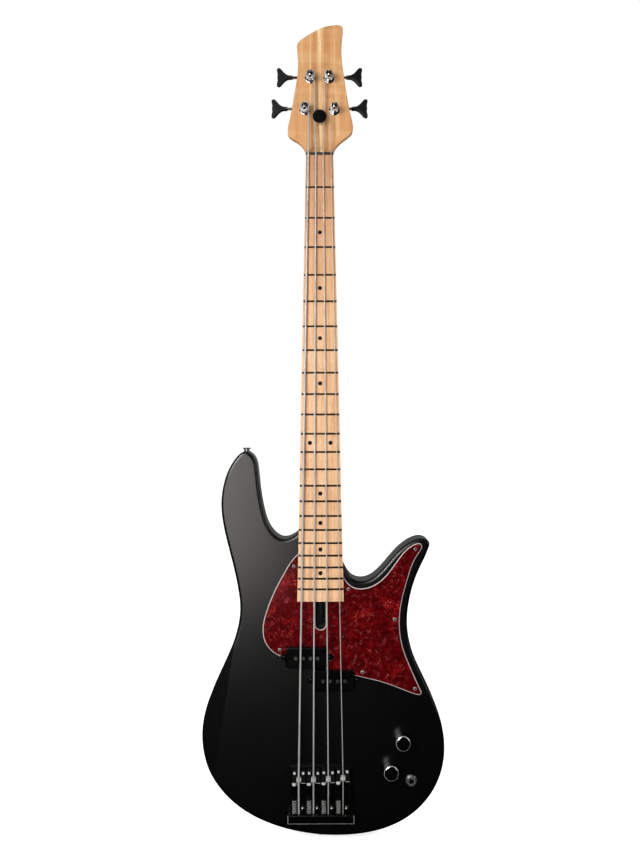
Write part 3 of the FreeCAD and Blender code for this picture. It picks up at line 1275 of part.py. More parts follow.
def make_springs():
    shapes = []
    for name in STRINGS:
        x = S.bridge_spacing * STRING_PLACES[name] - S.intonation_offset
        wire = S.spring_wire
        start = TAIL_FRONT_Z + wire + S.seat_gap
        rise = float(S.spring_length - wire * 2 - S.seat_gap * 2) / (SPRING_TURNS * 4)
        stations = helix_stations(Vector(float(x), -SCREW_LEVEL.number, float(start)), Vector(1, 0, 0),
                                  Vector(0, 1, 0), Vector(0, 0, 1), S.spring_radius.number, rise,
                                  SPRING_TURNS * 4)
        turns = []
        for (first, way), (last, last_way) in zip(stations, stations[1:]):
            turns += biarc(first, way, last, last_way)
        shape, error = tube(turns, wire)
        print("spring", name, "gap between curls %.2f mm" % least_gap(turns, wire),
              "volume error %.4f" % error)
        shapes.append(shape)
    group("intonation_springs", shapes)


# Tuning machines, made for the treble side about their post and mirrored for the bass side

def tuner_screw_places():
    return [(-S.tuner_screw_out, -S.tuner_screw_out), (S.tuner_screw_out, -S.tuner_screw_out),
            (sized(0), S.tuner_screw_top)]


def gear_radius():
    return S.gear_teeth_module * GEAR_TEETH / 2


def worm_offset():
    """Distance from a post to the axis of its worm."""
    return gear_radius() + (S.worm_core_radius + S.worm_crest_radius) / 2 + S.mesh_gap


def gear_level():
    """Level of the middle of the gear, behind the headstock and the tuner's plate."""
    return HEAD_BACK - S.plate_thickness - S.gear_play - S.gear_thickness / 2


def at_post(name, shape):
    """A tuner piece, made about a post on the origin's Z line, at its own post."""
    side, out, z = TUNER_POSTS[name]
    copy = shape.copy()
    if side < 0:
        copy = copy.mirror(Vector(0, 0, 0), Vector(1, 0, 0))
    copy.translate(Vector(float(out) * side, 0, float(z)))
    return copy


def tuner_plate():
    half = S.plate_half_width
    body = new_body("tuner_plate")
    sketch = polygon(sketch_on(body, "XZ_Plane", "plate_outline", HEAD_BACK - S.plate_thickness),
                     [(-half, -S.plate_low), (half, -S.plate_low), (half, S.plate_high),
                      (-half, S.plate_high)])
    sheet_pad = pad(body, sketch, S.plate_thickness, "plate_pad")
    doc.recompute()
    corners = edge_names(sheet_pad.Shape, lambda edge: abs(edge.tangentAt(edge.FirstParameter).y) > 0.9)
    fillet(body, sheet_pad, corners, S.plate_corner, "plate_corners")
    lugs, offset = [body], worm_offset()
    lug_depth = S.plate_thickness / 2 + S.gear_play + S.gear_thickness / 2 + S.worm_shaft_radius + S.lug_cap
    gap = S.worm_length / 2 + S.gear_play + S.lug_thickness / 2
    for side in (-1, 1):
        lugs.append(block("tuner_lug", S.lug_thickness, lug_depth, S.lug_width, gap * side,
                          HEAD_BACK - S.plate_thickness / 2, offset - S.lug_width / 2))
    holes = [cylinder("post_bearing", S.post_radius + S.running_gap, S.plate_thickness + S.overrun * 2, 0,
                      HEAD_BACK - S.plate_thickness - S.overrun, 0, FRONT)]
    reach = gap * 2 + S.lug_thickness + S.overrun * 2
    holes.append(cylinder("shaft_bearing", S.worm_shaft_radius + S.running_gap, reach, -reach / 2,
                          gear_level(), offset, RIGHT))
    for u, v in tuner_screw_places():
        holes.append(cylinder("plate_hole", S.wood_screw_radius + S.running_gap,
                              S.plate_thickness + S.overrun * 2,
                              u, HEAD_BACK - S.plate_thickness - S.overrun, v, FRONT))
    return cut("tuner_plate_cut", joined("tuner_bracket", lugs), holes)


def tuner_bushing():
    face = S.head_thickness
    top = face + S.washer_thickness
    bore = S.post_radius + S.running_gap
    nut = top + S.bushing_nut_height
    body = turned("tuner_bushing", [(bore, 0), (S.bushing_radius, 0), (S.bushing_radius, face),
                                    (S.washer_radius, face), (S.washer_radius, top - S.washer_thickness / 3),
                                    (S.washer_radius - S.washer_thickness / 3, top),
                                    (S.bushing_nut_radius, top),
                                    (S.bushing_nut_radius, nut - S.washer_thickness / 2),
                                    (S.bushing_nut_radius - S.washer_thickness / 2, nut), (bore, nut)])
    return place(body, 0, HEAD_BACK, 0, SPIN_FRONT)


def gear_wheel():
    """Spur wheel whose teeth lean with the worm's thread, with a square-shouldered hub bore."""
    pitch = gear_radius().number
    tip, root = pitch + S.gear_teeth_module.number * 0.7, pitch - S.gear_teeth_module.number * 1.05
    lead = 2 * math.pi * pitch / GEAR_TEETH
    lean = math.atan(lead / (math.pi * float(S.worm_core_radius + S.worm_crest_radius)))
    twist = S.gear_thickness.number / 2 * math.tan(lean) / pitch
    step = 2 * math.pi / GEAR_TEETH
    rings = []
    for end in (-1, 1):
        level = gear_level().number + end * S.gear_thickness.number / 2
        corners = []
        for tooth in range(GEAR_TEETH):
            for share, radius in ((-0.34, root), (-0.13, tip), (0.13, tip), (0.34, root)):
                angle = (tooth + share) * step + end * twist + math.pi / 2
                corners.append(Vector(radius * math.cos(angle), -level, radius * math.sin(angle)))
        rings.append(Part.makePolygon(corners + corners[:1]))
    wheel = Part.makeLoft(rings, True, True)
    bore = Part.makeCylinder(S.post_hub_radius.number, S.gear_thickness.number * 2,
                             Vector(0, -gear_level().number + S.gear_thickness.number, 0), Vector(0, -1, 0))
    return wheel.cut(bore)


def tuner_post():
    low = gear_level() - S.gear_thickness / 2
    shoulder = S.gear_thickness
    bearing = HEAD_FACE + S.washer_thickness + S.bushing_nut_height - low
    top = HEAD_FACE + S.post_height - low
    cap = S.post_cap_round
    body = turned("tuner_post", [(0, 0), (S.post_hub_radius, 0), (S.post_hub_radius, shoulder),
                                 (S.post_radius, shoulder), (S.post_radius, bearing),
                                 (S.winding_radius, bearing + cap), (S.winding_radius, top - cap),
                                 (S.winding_radius - cap, top), (0, top)])
    place(body, 0, low, 0, SPIN_FRONT)
    slot = block("post_slot", S.post_slot, S.post_slot_depth + S.overrun, S.winding_radius * 4, 0,
                 low + top + S.overrun, -S.winding_radius * 2)
    hole = cylinder("post_hole", S.post_hole_radius, S.post_hole_depth + S.overrun, 0,
                    low + top - S.post_hole_depth, 0, FRONT)
    return cut("tuner_post_cut", body, [slot, hole])


def worm_thread():
    """Trapezoid thread wound on a helix, its hollow turned to the wheel at the middle."""
    lead = 2 * math.pi * gear_radius().number / GEAR_TEETH
    root, crest = S.worm_core_radius.number - S.mesh_gap.number, S.worm_crest_radius.number
    foot, tip = lead * THREAD_FOOT_SHARE, lead * THREAD_TIP_SHARE
    corners = [Vector(root, 0, -foot), Vector(crest, 0, -tip), Vector(crest, 0, tip), Vector(root, 0, foot)]
    sweep = Part.BRepOffsetAPI.MakePipeShell(Part.Wire(Part.makeHelix(lead, lead * WORM_TURNS, root)))
    sweep.setFrenetMode(True)
    sweep.add(Part.makePolygon(corners + corners[:1]))
    sweep.build()
    sweep.makeSolid()
    thread = sweep.shape()
    thread.translate(Vector(0, 0, -lead * WORM_TURNS / 2))
    thread.Placement = Placement(at(0, gear_level(), worm_offset()),
                                 Rotation(Vector(1, 0, 1), 180)) * thread.Placement
    return solid("worm_thread", thread)


def worm_shaft():
    """Shaft with its worm between two journals, and a collar against the button."""
    level, offset = gear_level(), worm_offset()
    half = S.worm_length / 2
    inner = -half - S.gear_play - S.lug_thickness - S.gear_play
    start = S.key_reach - S.button_length
    runs = [(S.worm_core_radius, -half, half), (S.worm_shaft_radius, inner, -half),
            (S.worm_shaft_radius, half, start + S.collar_length),
            (S.collar_radius, start - S.collar_length, start)]
    steps = [cylinder("worm_run", radius, high - low, low, level, offset, RIGHT)
             for radius, low, high in runs]
    return joined("worm_shaft", [worm_thread()] + steps)


def tuner_button():
    """Three-lobed finger button, flat on both faces and bored for its shaft."""
    body = new_body("tuner_button")
    thick = S.button_thickness
    start = S.key_reach - S.button_length
    sketch = sketch_on(body, "XZ_Plane", "button_outline", gear_level() - thick / 2)
    upper = [(start + S.button_length * along, worm_offset() + S.button_width * up)
             for along, up in BUTTON_SHARES]
    lower = [(x, worm_offset() * 2 - z) for x, z in upper]
    outline = lower + upper[-2::-1]
    curve(sketch, outline)
    segments(sketch, [outline[-1], outline[0]])
    slab = pad(body, sketch, thick, "button_pad")
    doc.recompute()
    rims = edge_names(slab.Shape, lambda edge: edge.Curve.TypeId == "Part::GeomBSplineCurve")
    fillet(body, slab, rims, S.button_round, "button_rims")
    bore = cylinder("button_bore", S.worm_shaft_radius, S.collar_length + S.overrun, start - S.overrun,
                    gear_level(), worm_offset(), RIGHT)
    return cut("tuner_button_cut", body, [bore])


def make_tuners():
    plate, bushing, post = tuner_plate(), tuner_bushing(), tuner_post()
    shaft, button = worm_shaft(), tuner_button()
    screw = wood_screw("tuner_screw_master", S.wood_screw_radius, S.wood_screw_length - S.loose_gap,
                       S.wood_screw_head, S.wood_screw_dome)
    doc.recompute()
    screws = [placed(screw, u, HEAD_BACK - S.plate_thickness, v, SPIN_REAR) for u, v in tuner_screw_places()]
    wheel = gear_wheel()
    stub_level = float(HEAD_FACE + S.wrap_high)
    group("tuner_plates", [at_post(name, plate.Shape) for name in STRINGS])
    group("tuner_bushings", [at_post(name, bushing.Shape) for name in STRINGS])
    group("tuner_screws", [at_post(name, shape) for name in STRINGS for shape in screws])
    for name in STRINGS:
        stub = Part.makeCylinder(float(STRING_RADII[name]), S.winding_radius.number - S.loose_gap.number,
                                 Vector(0, -stub_level, 0), Vector(0, 0, 1))
        group("tuner_post_" + name, [at_post(name, shape) for shape in (post.Shape, wheel, stub)])
        group("tuner_worm_" + name, [at_post(name, shaft.Shape)])
        group("tuner_button_" + name, [at_post(name, button.Shape)])


# Controls on the lower bout

def make_controls():
    wall = HALF_BODY - S.front_wall
    bush_top = S.pot_depth + S.front_wall + S.pot_bush_rise
    bore = S.shaft_radius + S.running_gap
    case = turned("pot_master", [(0, 0), (S.pot_radius, 0), (S.pot_radius, S.pot_depth),
                                 (S.pot_bush_radius, S.pot_depth), (S.pot_bush_radius, bush_top),
                                 (bore, bush_top), (bore, S.pot_depth / 2), (0, S.pot_depth / 2)])
    nut = doc.addObject("Part::Prism", "pot_nut_blank")
    nut.Polygon = 6
    bind(nut, Circumradius=S.pot_nut_radius, Height=S.pot_nut_height)
    nut_bore = cylinder("pot_nut_bore", S.pot_bush_radius + S.seat_gap, S.pot_nut_height + S.overrun * 2, 0,
                        0, -S.overrun, UP)
    pot_nut = cut("pot_nut_master", nut, [nut_bore])
    jack_nut = turned("jack_nut_master", [(S.jack_radius + S.seat_gap, 0), (S.jack_nut_radius, 0),
                                          (S.jack_nut_radius, S.jack_nut_height * 0.6),
                                          (S.jack_nut_radius - S.jack_nut_height * 0.4, S.jack_nut_height),
                                          (S.jack_radius + S.seat_gap, S.jack_nut_height)])
    jack_low = HALF_BODY + S.jack_rise - S.jack_depth
    jack = turned("output_jack", [(0, 0), (S.jack_radius, 0), (S.jack_radius, S.jack_depth),
                                  (S.jack_bore, S.jack_depth), (S.jack_bore, S.jack_wall), (0, S.jack_wall)])
    node("output_jack", place(jack, JACK[0], jack_low, JACK[1], SPIN_FRONT))
    doc.recompute()
    cases, nuts = [], []
    for name, (x, z) in CONTROLS.items():
        cases.append(placed(case, x, wall - S.pot_depth, z, SPIN_FRONT))
        nuts.append(placed(pot_nut, x, HALF_BODY, z, FRONT))
        make_knob(name, x, z)
    nuts.append(placed(jack_nut, JACK[0], HALF_BODY, JACK[1], SPIN_FRONT))
    group("pot_cases", cases)
    group("control_nuts", nuts)


def make_knob(name, x, z):
    wall = HALF_BODY - S.front_wall
    low = wall - S.pot_depth / 2 + S.running_gap
    base = HALF_BODY + S.knob_gap
    cup = S.knob_cup_depth
    shaft = cylinder(name + "_shaft", S.shaft_radius, base + cup + S.shaft_grip - low, x, low, z, FRONT)
    node(name + "_shaft", shaft)
    rise = S.knob_height - S.knob_side
    dome_radius = (S.knob_radius * S.knob_radius + rise * rise) / (rise * 2)
    dome = doc.addObject("Part::Sphere", name + "_dome")
    bind(dome, Radius=dome_radius)
    place(dome, x, base + S.knob_height - dome_radius, z, FRONT)
    cap = doc.addObject("Part::Common", name + "_cap")
    cap.Base = cylinder(name + "_cap_blank", S.knob_radius, S.knob_height, x, base, z, FRONT)
    cap.Tool = dome
    side = cylinder(name + "_side", S.knob_radius, S.knob_side, x, base, z, FRONT)
    tools = [cylinder(name + "_cup", S.knob_cup_radius, cup + S.overrun, x, base - S.overrun, z, FRONT),
             cylinder(name + "_bore", S.shaft_radius, cup + S.shaft_grip, x, base, z, FRONT)]
    node(name + "_knob", cut(name + "_knob", joined(name + "_knob_parts", [side, cap]), tools))


def make_cover():
    plate = cavity_outline("cover_plate", sized(0), -HALF_BODY, S.cover_thickness)
    holes = [cylinder("cover_hole", S.wood_screw_radius + S.running_gap, S.cover_thickness + S.overrun * 2, x,
                      -HALF_BODY - S.overrun, z, FRONT) for x, z in cover_screw_places()]
    node("control_cover", cut("control_cover", plate, holes))


def make_wiring():
    x, z = CONTROLS["tone"]
    back = HALF_BODY - S.front_wall - S.pot_depth
    node("tone_capacitor", block("tone_capacitor", S.capacitor_length, S.capacitor_height,
                                 S.capacitor_breadth, x, back, z))
    volume_x, volume_z = CONTROLS["volume"]
    treble_x, treble_z = PICKUPS["treble"]
    channel = HALF_BODY - S.route_depth + S.channel_radius
    deep = back - S.capacitor_height
    coil_low = HALF_BODY + S.pickup_rise - S.pickup_wall - S.coil_height
    lead_x = treble_x + (S.foam_length + S.coil_length) / 4
    joint_z = volume_z + S.pot_radius / 2
    lead = [(lead_x, coil_low, treble_z), (lead_x, channel, treble_z), (lead_x, channel, wire_channel_z()),
            (wire_drop_x(), channel, wire_channel_z()), (wire_drop_x(), channel, joint_z + S.pot_radius),
            (volume_x, deep, joint_z), (volume_x, back, joint_z)]
    jack_low = HALF_BODY + S.jack_rise - S.jack_depth
    out_x, out_z = volume_x + S.pot_radius / 2, volume_z - S.pot_radius / 3
    out = [(out_x, back, out_z), (out_x, deep, out_z), (JACK[0], jack_low - S.capacitor_height / 2, JACK[1]),
           (JACK[0], jack_low, JACK[1])]
    shapes = []
    for route in (lead, out):
        points = [at(*place_on) for place_on in route]
        shape, error = tube(rounded_run(points, [S.wire_bend.number] * (len(points) - 2)), S.wire_radius)
        print("wire volume error %.4f" % error)
        shapes.append(shape)
    group("hookup_wires", shapes)


# Strap buttons

def make_strap_buttons():
    total = S.strap_base + S.strap_waist + S.strap_flange
    waist_top = S.strap_base + S.strap_waist
    sink = total - S.strap_screw_head_height
    round_off = S.strap_flange / 3
    profile = [(S.strap_bore + S.running_gap, 0), (S.strap_base_radius, 0),
               (S.strap_waist_radius, S.strap_base),
               (S.strap_waist_radius, waist_top), (S.strap_flange_radius, waist_top + round_off),
               (S.strap_flange_radius, total - round_off), (S.strap_flange_radius - round_off, total),
               (S.strap_screw_head + S.running_gap, total), (S.strap_bore + S.running_gap, sink)]
    screw = turned("strap_screw_master", [(0, total), (S.strap_screw_head, total), (S.strap_bore, sink),
                                          (S.strap_bore, S.overrun - S.strap_screw_length),
                                          (0, S.overrun - S.strap_screw_length)])
    doc.recompute()
    screws = []
    for label, (x, z, direction) in zip(("tail", "horn"), strap_places()):
        spin = SPIN_UP if direction > 0 else SPIN_DOWN
        button = turned("strap_button_" + label, profile)
        node("strap_button_" + label, place(button, x, 0, z, spin))
        screws.append(placed(screw, x, 0, z, spin))
    group("strap_screws", screws)


def check_document():
    failed = [item.Name for item in doc.Objects if "Invalid" in item.State or "Error" in item.State]
    if failed:
        raise RuntimeError("not built: " + ", ".join(failed))


def main():
    make_body()
    make_neck()
    make_fingerboard()
    make_frets()
    make_nut()
    make_truss_rod()
    make_retainer()
    make_neck_bolts()
    make_pickguard()
    make_panel_screws()
    make_pickups()
    make_bridge_plate()
    make_tail_block()
    make_bridge_screws()
    for name in STRINGS:
        make_saddle(name)
        make_intonation_screw(name)
    make_strings()
    make_springs()
    make_tuners()
    make_controls()
    make_cover()
    make_wiring()
    make_strap_buttons()
    doc.recompute()
    check_document()
    for label, item in NODES.items():
        if item.Shape.isNull() or not item.Shape.isValid() or not item.Shape.Solids:
            raise RuntimeError("%s has no valid shape" % label)
    os.makedirs("parts", exist_ok=True)
    for label, item in NODES.items():
        item.Shape.exportStep("parts/%s.step" % label)
    print(len(NODES), "nodes written")


main()
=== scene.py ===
import math

import bmesh
import bpy
from mathutils import Matrix, Vector


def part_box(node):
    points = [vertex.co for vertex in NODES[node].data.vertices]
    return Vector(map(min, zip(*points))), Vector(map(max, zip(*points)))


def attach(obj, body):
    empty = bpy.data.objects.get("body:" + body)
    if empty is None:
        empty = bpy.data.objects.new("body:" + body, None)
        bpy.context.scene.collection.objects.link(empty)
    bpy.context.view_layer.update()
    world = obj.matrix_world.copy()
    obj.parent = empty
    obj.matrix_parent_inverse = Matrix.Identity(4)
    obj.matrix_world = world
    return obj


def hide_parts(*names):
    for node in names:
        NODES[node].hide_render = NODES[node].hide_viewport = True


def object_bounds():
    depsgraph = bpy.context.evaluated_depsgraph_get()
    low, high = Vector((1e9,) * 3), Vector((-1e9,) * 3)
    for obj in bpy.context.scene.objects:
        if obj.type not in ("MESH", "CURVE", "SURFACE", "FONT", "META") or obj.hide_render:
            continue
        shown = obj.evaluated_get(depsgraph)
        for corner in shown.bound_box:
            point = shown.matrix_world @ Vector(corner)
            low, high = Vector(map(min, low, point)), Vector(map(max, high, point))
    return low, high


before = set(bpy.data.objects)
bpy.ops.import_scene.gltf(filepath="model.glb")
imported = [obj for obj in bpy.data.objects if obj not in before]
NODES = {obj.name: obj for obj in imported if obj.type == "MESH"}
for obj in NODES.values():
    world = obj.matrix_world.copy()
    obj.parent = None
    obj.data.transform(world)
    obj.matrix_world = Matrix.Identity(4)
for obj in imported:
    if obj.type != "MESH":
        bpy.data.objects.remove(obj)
cad_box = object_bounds()

STRINGS = "eadg"

# Sizes are in metres. The front of the instrument faces -Y and the neck runs up +Z.
MM = 0.001

# Camera
IMAGE_WIDTH = 640
IMAGE_HEIGHT = 853
FOCAL_PIXELS = 839.6
OPTICAL_AXIS_PIXEL = 327.5
SENSOR_WIDTH = 36.0
CAMERA_DISTANCE = 1200 * MM
CAMERA_BELOW_NUT = 375.5 * MM
CAMERA_PITCH = math.radians(5.75)
CAMERA_ROLL = math.radians(-0.11)

# World and floor
WORLD_FRONT = 0.03
WORLD_BACK = 1.0
WORLD_SWEEP_START = -0.35
WORLD_SWEEP_STOP = 0.25
WORLD_MIRRORED_SHARE = 0.22
FLOOR_SIZE = 12.0
FLOOR_DROP = 1.0 * MM
FLOOR_GREY = (0.82, 0.82, 0.82)
FLOOR_MIRRORED = (0.002, 0.002, 0.002)
FLOOR_GLOW = 0.75

# Depths of the fine textures
PEEL_DEPTH = 0.02 * MM
PORE_DEPTH = 0.03 * MM
BRUSH_DEPTH = 0.01 * MM
WINDING_DEPTH = 0.08 * MM
SKIN_DEPTH = 0.02 * MM
FOAM_DEPTH = 0.2 * MM
COIL_DEPTH = 0.05 * MM

# Marks in the finishes
BEVEL_SOFTNESS = 2.5 * MM
# Painted sheen down the middle of the neck wood: how far it reaches and how far it wanders
SHEEN_REACH = 20.0 * MM
SHEEN_WANDER_LEFT = -4.0 * MM
SHEEN_WANDER_RIGHT = 2.0 * MM
ALONG_GRAIN = (1.0, 1.0, 0.030)
# Share of the fingerboard's length, from its lower end, where the painted shade towards the nut begins
SHADE_FROM_SHARE = 0.56
GUARD_SKIN = 0.10 * MM
GUARD_CORE = 1.60 * MM
GUARD_FADE = 0.06 * MM
# Widths of the painted highlight along the tail block's edges
HIGHLIGHT_EDGE = 0.70 * MM
HIGHLIGHT_FRONT = 0.75 * MM
HIGHLIGHT_LIMIT = 0.85 * MM
SADDLE_BOSS = 3.4 * MM
# Height of the painted highlight along a saddle's lower edge
SADDLE_EDGE_HIGHLIGHT = 0.5 * MM
SADDLE_MARGIN = 0.02 * MM
JACK_BORE = 3.3 * MM
JACK_MARGIN = 0.1 * MM
JACK_RIM = 0.4 * MM
KNOB_RING = 0.95 * MM
CLOUD_LOW = 0.3
CLOUD_HIGH = 0.7
BLACK_PLATING = (0.0012, 0.0012, 0.0013)
CHROME = (0.80, 0.80, 0.81)

# Detail pieces. A face looks along an axis if the cosine of the angle between them is past FACING.
MERGE_DISTANCE = 0.002 * MM
SORT_DIGITS = 5
FACING = 0.9
RECESS_DEPTH = 0.5 * MM
RECESS_PROUD = 0.03 * MM
RECESS_TAPER_SHARE = 0.6
RECESS_TURN = 0.35
RECESS_TURNS = 5
RECESS_TURN_SKIP = 2
SOCKET_SIDES = 6
SOCKET_LIP_SHARE = 0.3
HEIGHT_SOCKET_RADIUS = 0.75 * MM
SET_SCREW_RADIUS = 0.9 * MM
SET_SCREW_UP = 3.0 * MM
KNOB_SIDES = 72
KNOB_ROUND = 2.2 * MM
KNOB_ROUND_STEPS = 7
KNOB_CUP = 8.0 * MM
KNOB_CUP_DEPTH = 5.5 * MM
KNOB_CROWN_STEP = 0.05 * MM
KNOB_CROWN_RINGS = 3
KNOB_CROWN_PARTS = 4.5
KNOB_FACE_MARGIN = 0.01 * MM
KNOB_SMOOTH_ANGLE = math.radians(35)

# Screws with a driver recess: node, slot width, arm length, and whether every head faces back
SCREW_RECESSES = (
    ("panel_screws", 0.45 * MM, 0.90 * MM, False),
    ("pickup_screws", 0.40 * MM, 0.80 * MM, False),
    ("bridge_screws", 0.70 * MM, 1.50 * MM, False),
    ("tuner_screws", 0.45 * MM, 0.95 * MM, True),
    ("neck_bolts", 0.80 * MM, 1.90 * MM, True),
)

# The Mix node keeps its sockets for colours after those for numbers and vectors.
MIX_FACTOR = 0
MIX_FIRST = 6
MIX_SECOND = 7
MIX_RESULT = 2


# Places read from the frame

def pieces_of(node):
    """Lowest and highest corner of each separate solid in a node."""
    work = bmesh.new()
    work.from_mesh(NODES[node].data)
    work.transform(NODES[node].matrix_world)
    bmesh.ops.remove_doubles(work, verts=work.verts, dist=MERGE_DISTANCE)
    left = set(work.verts)
    boxes = []
    while left:
        group = []
        waiting = [left.pop()]
        while waiting:
            vertex = waiting.pop()
            group.append(vertex.co.copy())
            for link in vertex.link_edges:
                other = link.other_vert(vertex)
                if other in left:
                    left.remove(other)
                    waiting.append(other)
        boxes.append((Vector([min(point[axis] for point in group) for axis in range(3)]),
                      Vector([max(point[axis] for point in group) for axis in range(3)])))
    work.free()
    return sorted(boxes, key=lambda box: (round(box[0].z, SORT_DIGITS), round(box[0].x, SORT_DIGITS)))


def saddle_pieces(name):
    """A saddle's block, then a list of its roller and height screws, the widest first."""
    block, *small = sorted(pieces_of("saddle_" + name), key=lambda box: box[0].x - box[1].x)
    return block, small


# Node trees

class NodeTree:
    """A node tree with short ways to add and join nodes."""

    def __init__(self, tree):
        self.tree = tree

    def add(self, kind, **values):
        node = self.tree.nodes.new(kind)
        for name, value in values.items():
            setattr(node, name, value)
        return node

    def join(self, source, target):
        self.tree.links.new(source, target)

    def feed(self, value, socket):
        """Sets a socket to a number or a colour, or joins another socket to it."""
        if isinstance(value, (int, float)):
            socket.default_value = value
        elif isinstance(value, tuple):
            socket.default_value = (*value, 1.0)
        else:
            self.join(value, socket)

    def combine(self, how, *values):
        """A sum, product, comparison or the like of numbers and sockets."""
        node = self.add("ShaderNodeMath", operation=how)
        for value, socket in zip(values, node.inputs):
            self.feed(value, socket)
        return node.outputs[0]

    def spread(self, value, low=0.0, high=1.0, start=0.0, stop=1.0, how="LINEAR"):
        """A value that goes from low to high as another goes from start to stop."""
        node = self.add("ShaderNodeMapRange", interpolation_type=how)
        for name, number in (("From Min", start), ("From Max", stop), ("To Min", low), ("To Max", high)):
            node.inputs[name].default_value = number
        self.join(value, node.inputs["Value"])
        return node.outputs["Result"]

    def part_of(self, vector, axis):
        node = self.add("ShaderNodeSeparateXYZ")
        self.join(vector, node.inputs[0])
        return node.outputs[axis]


class Finish(NodeTree):
    """A material on the object's own coordinates."""

    def __init__(self, name, colour, roughness, metallic=0.0, specular=0.5):
        self.material = bpy.data.materials.new(name)
        self.material.use_nodes = True
        super().__init__(self.material.node_tree)
        self.shader = self.tree.nodes["Principled BSDF"]
        self.shader.inputs["Base Color"].default_value = (*colour, 1.0)
        self.shader.inputs["Roughness"].default_value = roughness
        self.shader.inputs["Metallic"].default_value = metallic
        self.shader.inputs["Specular IOR Level"].default_value = specular
        coordinates = self.add("ShaderNodeTexCoord")
        self.place = coordinates.outputs["Object"]
        self.normal = coordinates.outputs["Normal"]

    def axis(self, name):
        return self.part_of(self.place, name)

    def mapped(self, scale=(1.0, 1.0, 1.0), turn=(0.0, 0.0, 0.0)):
        """Object coordinates, scaled along each axis and turned."""
        mapping = self.add("ShaderNodeMapping")
        mapping.inputs["Scale"].default_value = scale
        mapping.inputs["Rotation"].default_value = turn
        self.join(self.place, mapping.inputs["Vector"])
        return mapping.outputs["Vector"]

    def noise(self, place, scale, detail=4.0, roughness=0.55, distortion=0.0):
        node = self.add("ShaderNodeTexNoise")
        for name, value in (("Scale", scale), ("Detail", detail), ("Roughness", roughness),
                            ("Distortion", distortion)):
            node.inputs[name].default_value = value
        self.join(place, node.inputs["Vector"])
        return node.outputs["Fac"]

    def turns(self, axis, scale):
        """Fine turns of wire that follow each other along an axis."""
        node = self.add("ShaderNodeTexWave", wave_type="BANDS", bands_direction=axis)
        node.inputs["Scale"].default_value = scale
        self.join(self.place, node.inputs["Vector"])
        return node.outputs["Fac"]

    def hazed(self, cloud, low, high):
        """A value between two limits that follows the usual spread of a cloud."""
        return self.spread(cloud, low=low, high=high, start=CLOUD_LOW, stop=CLOUD_HIGH)

    def veins(self, cloud, level, start, stop):
        """Thin lines along which a cloud passes a level."""
        away = self.combine("ABSOLUTE", self.combine("SUBTRACT", cloud, level))
        return self.spread(away, low=1.0, high=0.0, start=start, stop=stop)

    def ramp(self, value, *stops):
        """Colour ramp through (position, colour) stops, given in order."""
        node = self.add("ShaderNodeValToRGB")
        elements = node.color_ramp.elements
        for element, (position, colour) in zip(elements, (stops[0], stops[-1])):
            element.position = position
            element.color = (*colour, 1.0)
        for position, colour in stops[1:-1]:
            elements.new(position).color = (*colour, 1.0)
        self.join(value, node.inputs["Fac"])
        return node.outputs["Color"]

    def blend(self, factor, first, second, how="MIX"):
        node = self.add("ShaderNodeMix", data_type="RGBA", blend_type=how)
        for socket, value in ((MIX_FACTOR, factor), (MIX_FIRST, first), (MIX_SECOND, second)):
            self.feed(value, node.inputs[socket])
        return node.outputs[MIX_RESULT]

    def from_centre(self, low, high):
        """Distance from the middle of a box, measured across Y."""
        squares = []
        for name, index in (("X", 0), ("Z", 2)):
            offset = self.combine("SUBTRACT", self.axis(name), (low[index] + high[index]) / 2)
            squares.append(self.combine("MULTIPLY", offset, offset))
        return self.combine("SQRT", self.combine("ADD", *squares))

    def within(self, low, high, margin):
        """One inside a box widened by a margin, and zero outside it."""
        inside = 1.0
        for name, first, last in zip("XYZ", low, high):
            offset = self.combine("ABSOLUTE", self.combine("SUBTRACT", self.axis(name), (first + last) / 2))
            near = self.combine("LESS_THAN", offset, (last - first) / 2 + margin)
            inside = self.combine("MULTIPLY", inside, near)
        return inside

    def colour(self, source):
        self.join(source, self.shader.inputs["Base Color"])

    def roughness(self, source):
        self.join(source, self.shader.inputs["Roughness"])

    def bump(self, height, strength, distance):
        node = self.add("ShaderNodeBump")
        node.inputs["Strength"].default_value = strength
        node.inputs["Distance"].default_value = distance
        self.join(height, node.inputs["Height"])
        self.join(node.outputs["Normal"], self.shader.inputs["Normal"])
        return node


def grey(level):
    return (level, level, level)


def paler(colour, times):
    return tuple(value * times for value in colour)


# Wood, lacquer and guard

def satin_lacquer():
    """Black body finish: a thin satin coat with the faintest orange peel, soft along the forearm bevel."""
    finish = Finish("satin_lacquer", (0.0007, 0.0007, 0.0008), roughness=0.25, specular=0.62)
    cloud = finish.noise(finish.place, scale=28.0, detail=3.0)
    finish.roughness(finish.spread(cloud, low=0.235, high=0.275))
    peel = finish.noise(finish.place, scale=1400.0, detail=2.0)
    soft = finish.add("ShaderNodeBevel", samples=6)
    soft.inputs["Radius"].default_value = BEVEL_SOFTNESS
    bump = finish.bump(peel, strength=0.03, distance=PEEL_DEPTH)
    finish.join(soft.outputs["Normal"], bump.inputs["Normal"])
    return finish.material


def maple_bands(finish, sheen_level):
    """Broad bands along the grain, and a painted sheen down the middle with painted shade beside it."""
    band = finish.noise(finish.mapped(ALONG_GRAIN), scale=95.0, detail=3.0, distortion=0.6)
    wave = finish.noise(finish.mapped((0.0, 0.0, 1.0)), scale=9.0, detail=2.0)
    wander = finish.spread(wave, low=SHEEN_WANDER_LEFT, high=SHEEN_WANDER_RIGHT)
    away = finish.combine("ABSOLUTE", finish.combine("ADD", finish.axis("X"), wander))
    # painted sheen along the middle line, with painted shade just beside it
    sheen_and_shade = finish.ramp(finish.spread(away, stop=SHEEN_REACH), (0.0, grey(sheen_level)), (0.16, grey(sheen_level)),
                       (0.40, grey(1.0 - sheen_level)), (0.62, grey(0.5)))
    return finish.combine("ADD", band, finish.combine("SUBTRACT", sheen_and_shade, 0.5))


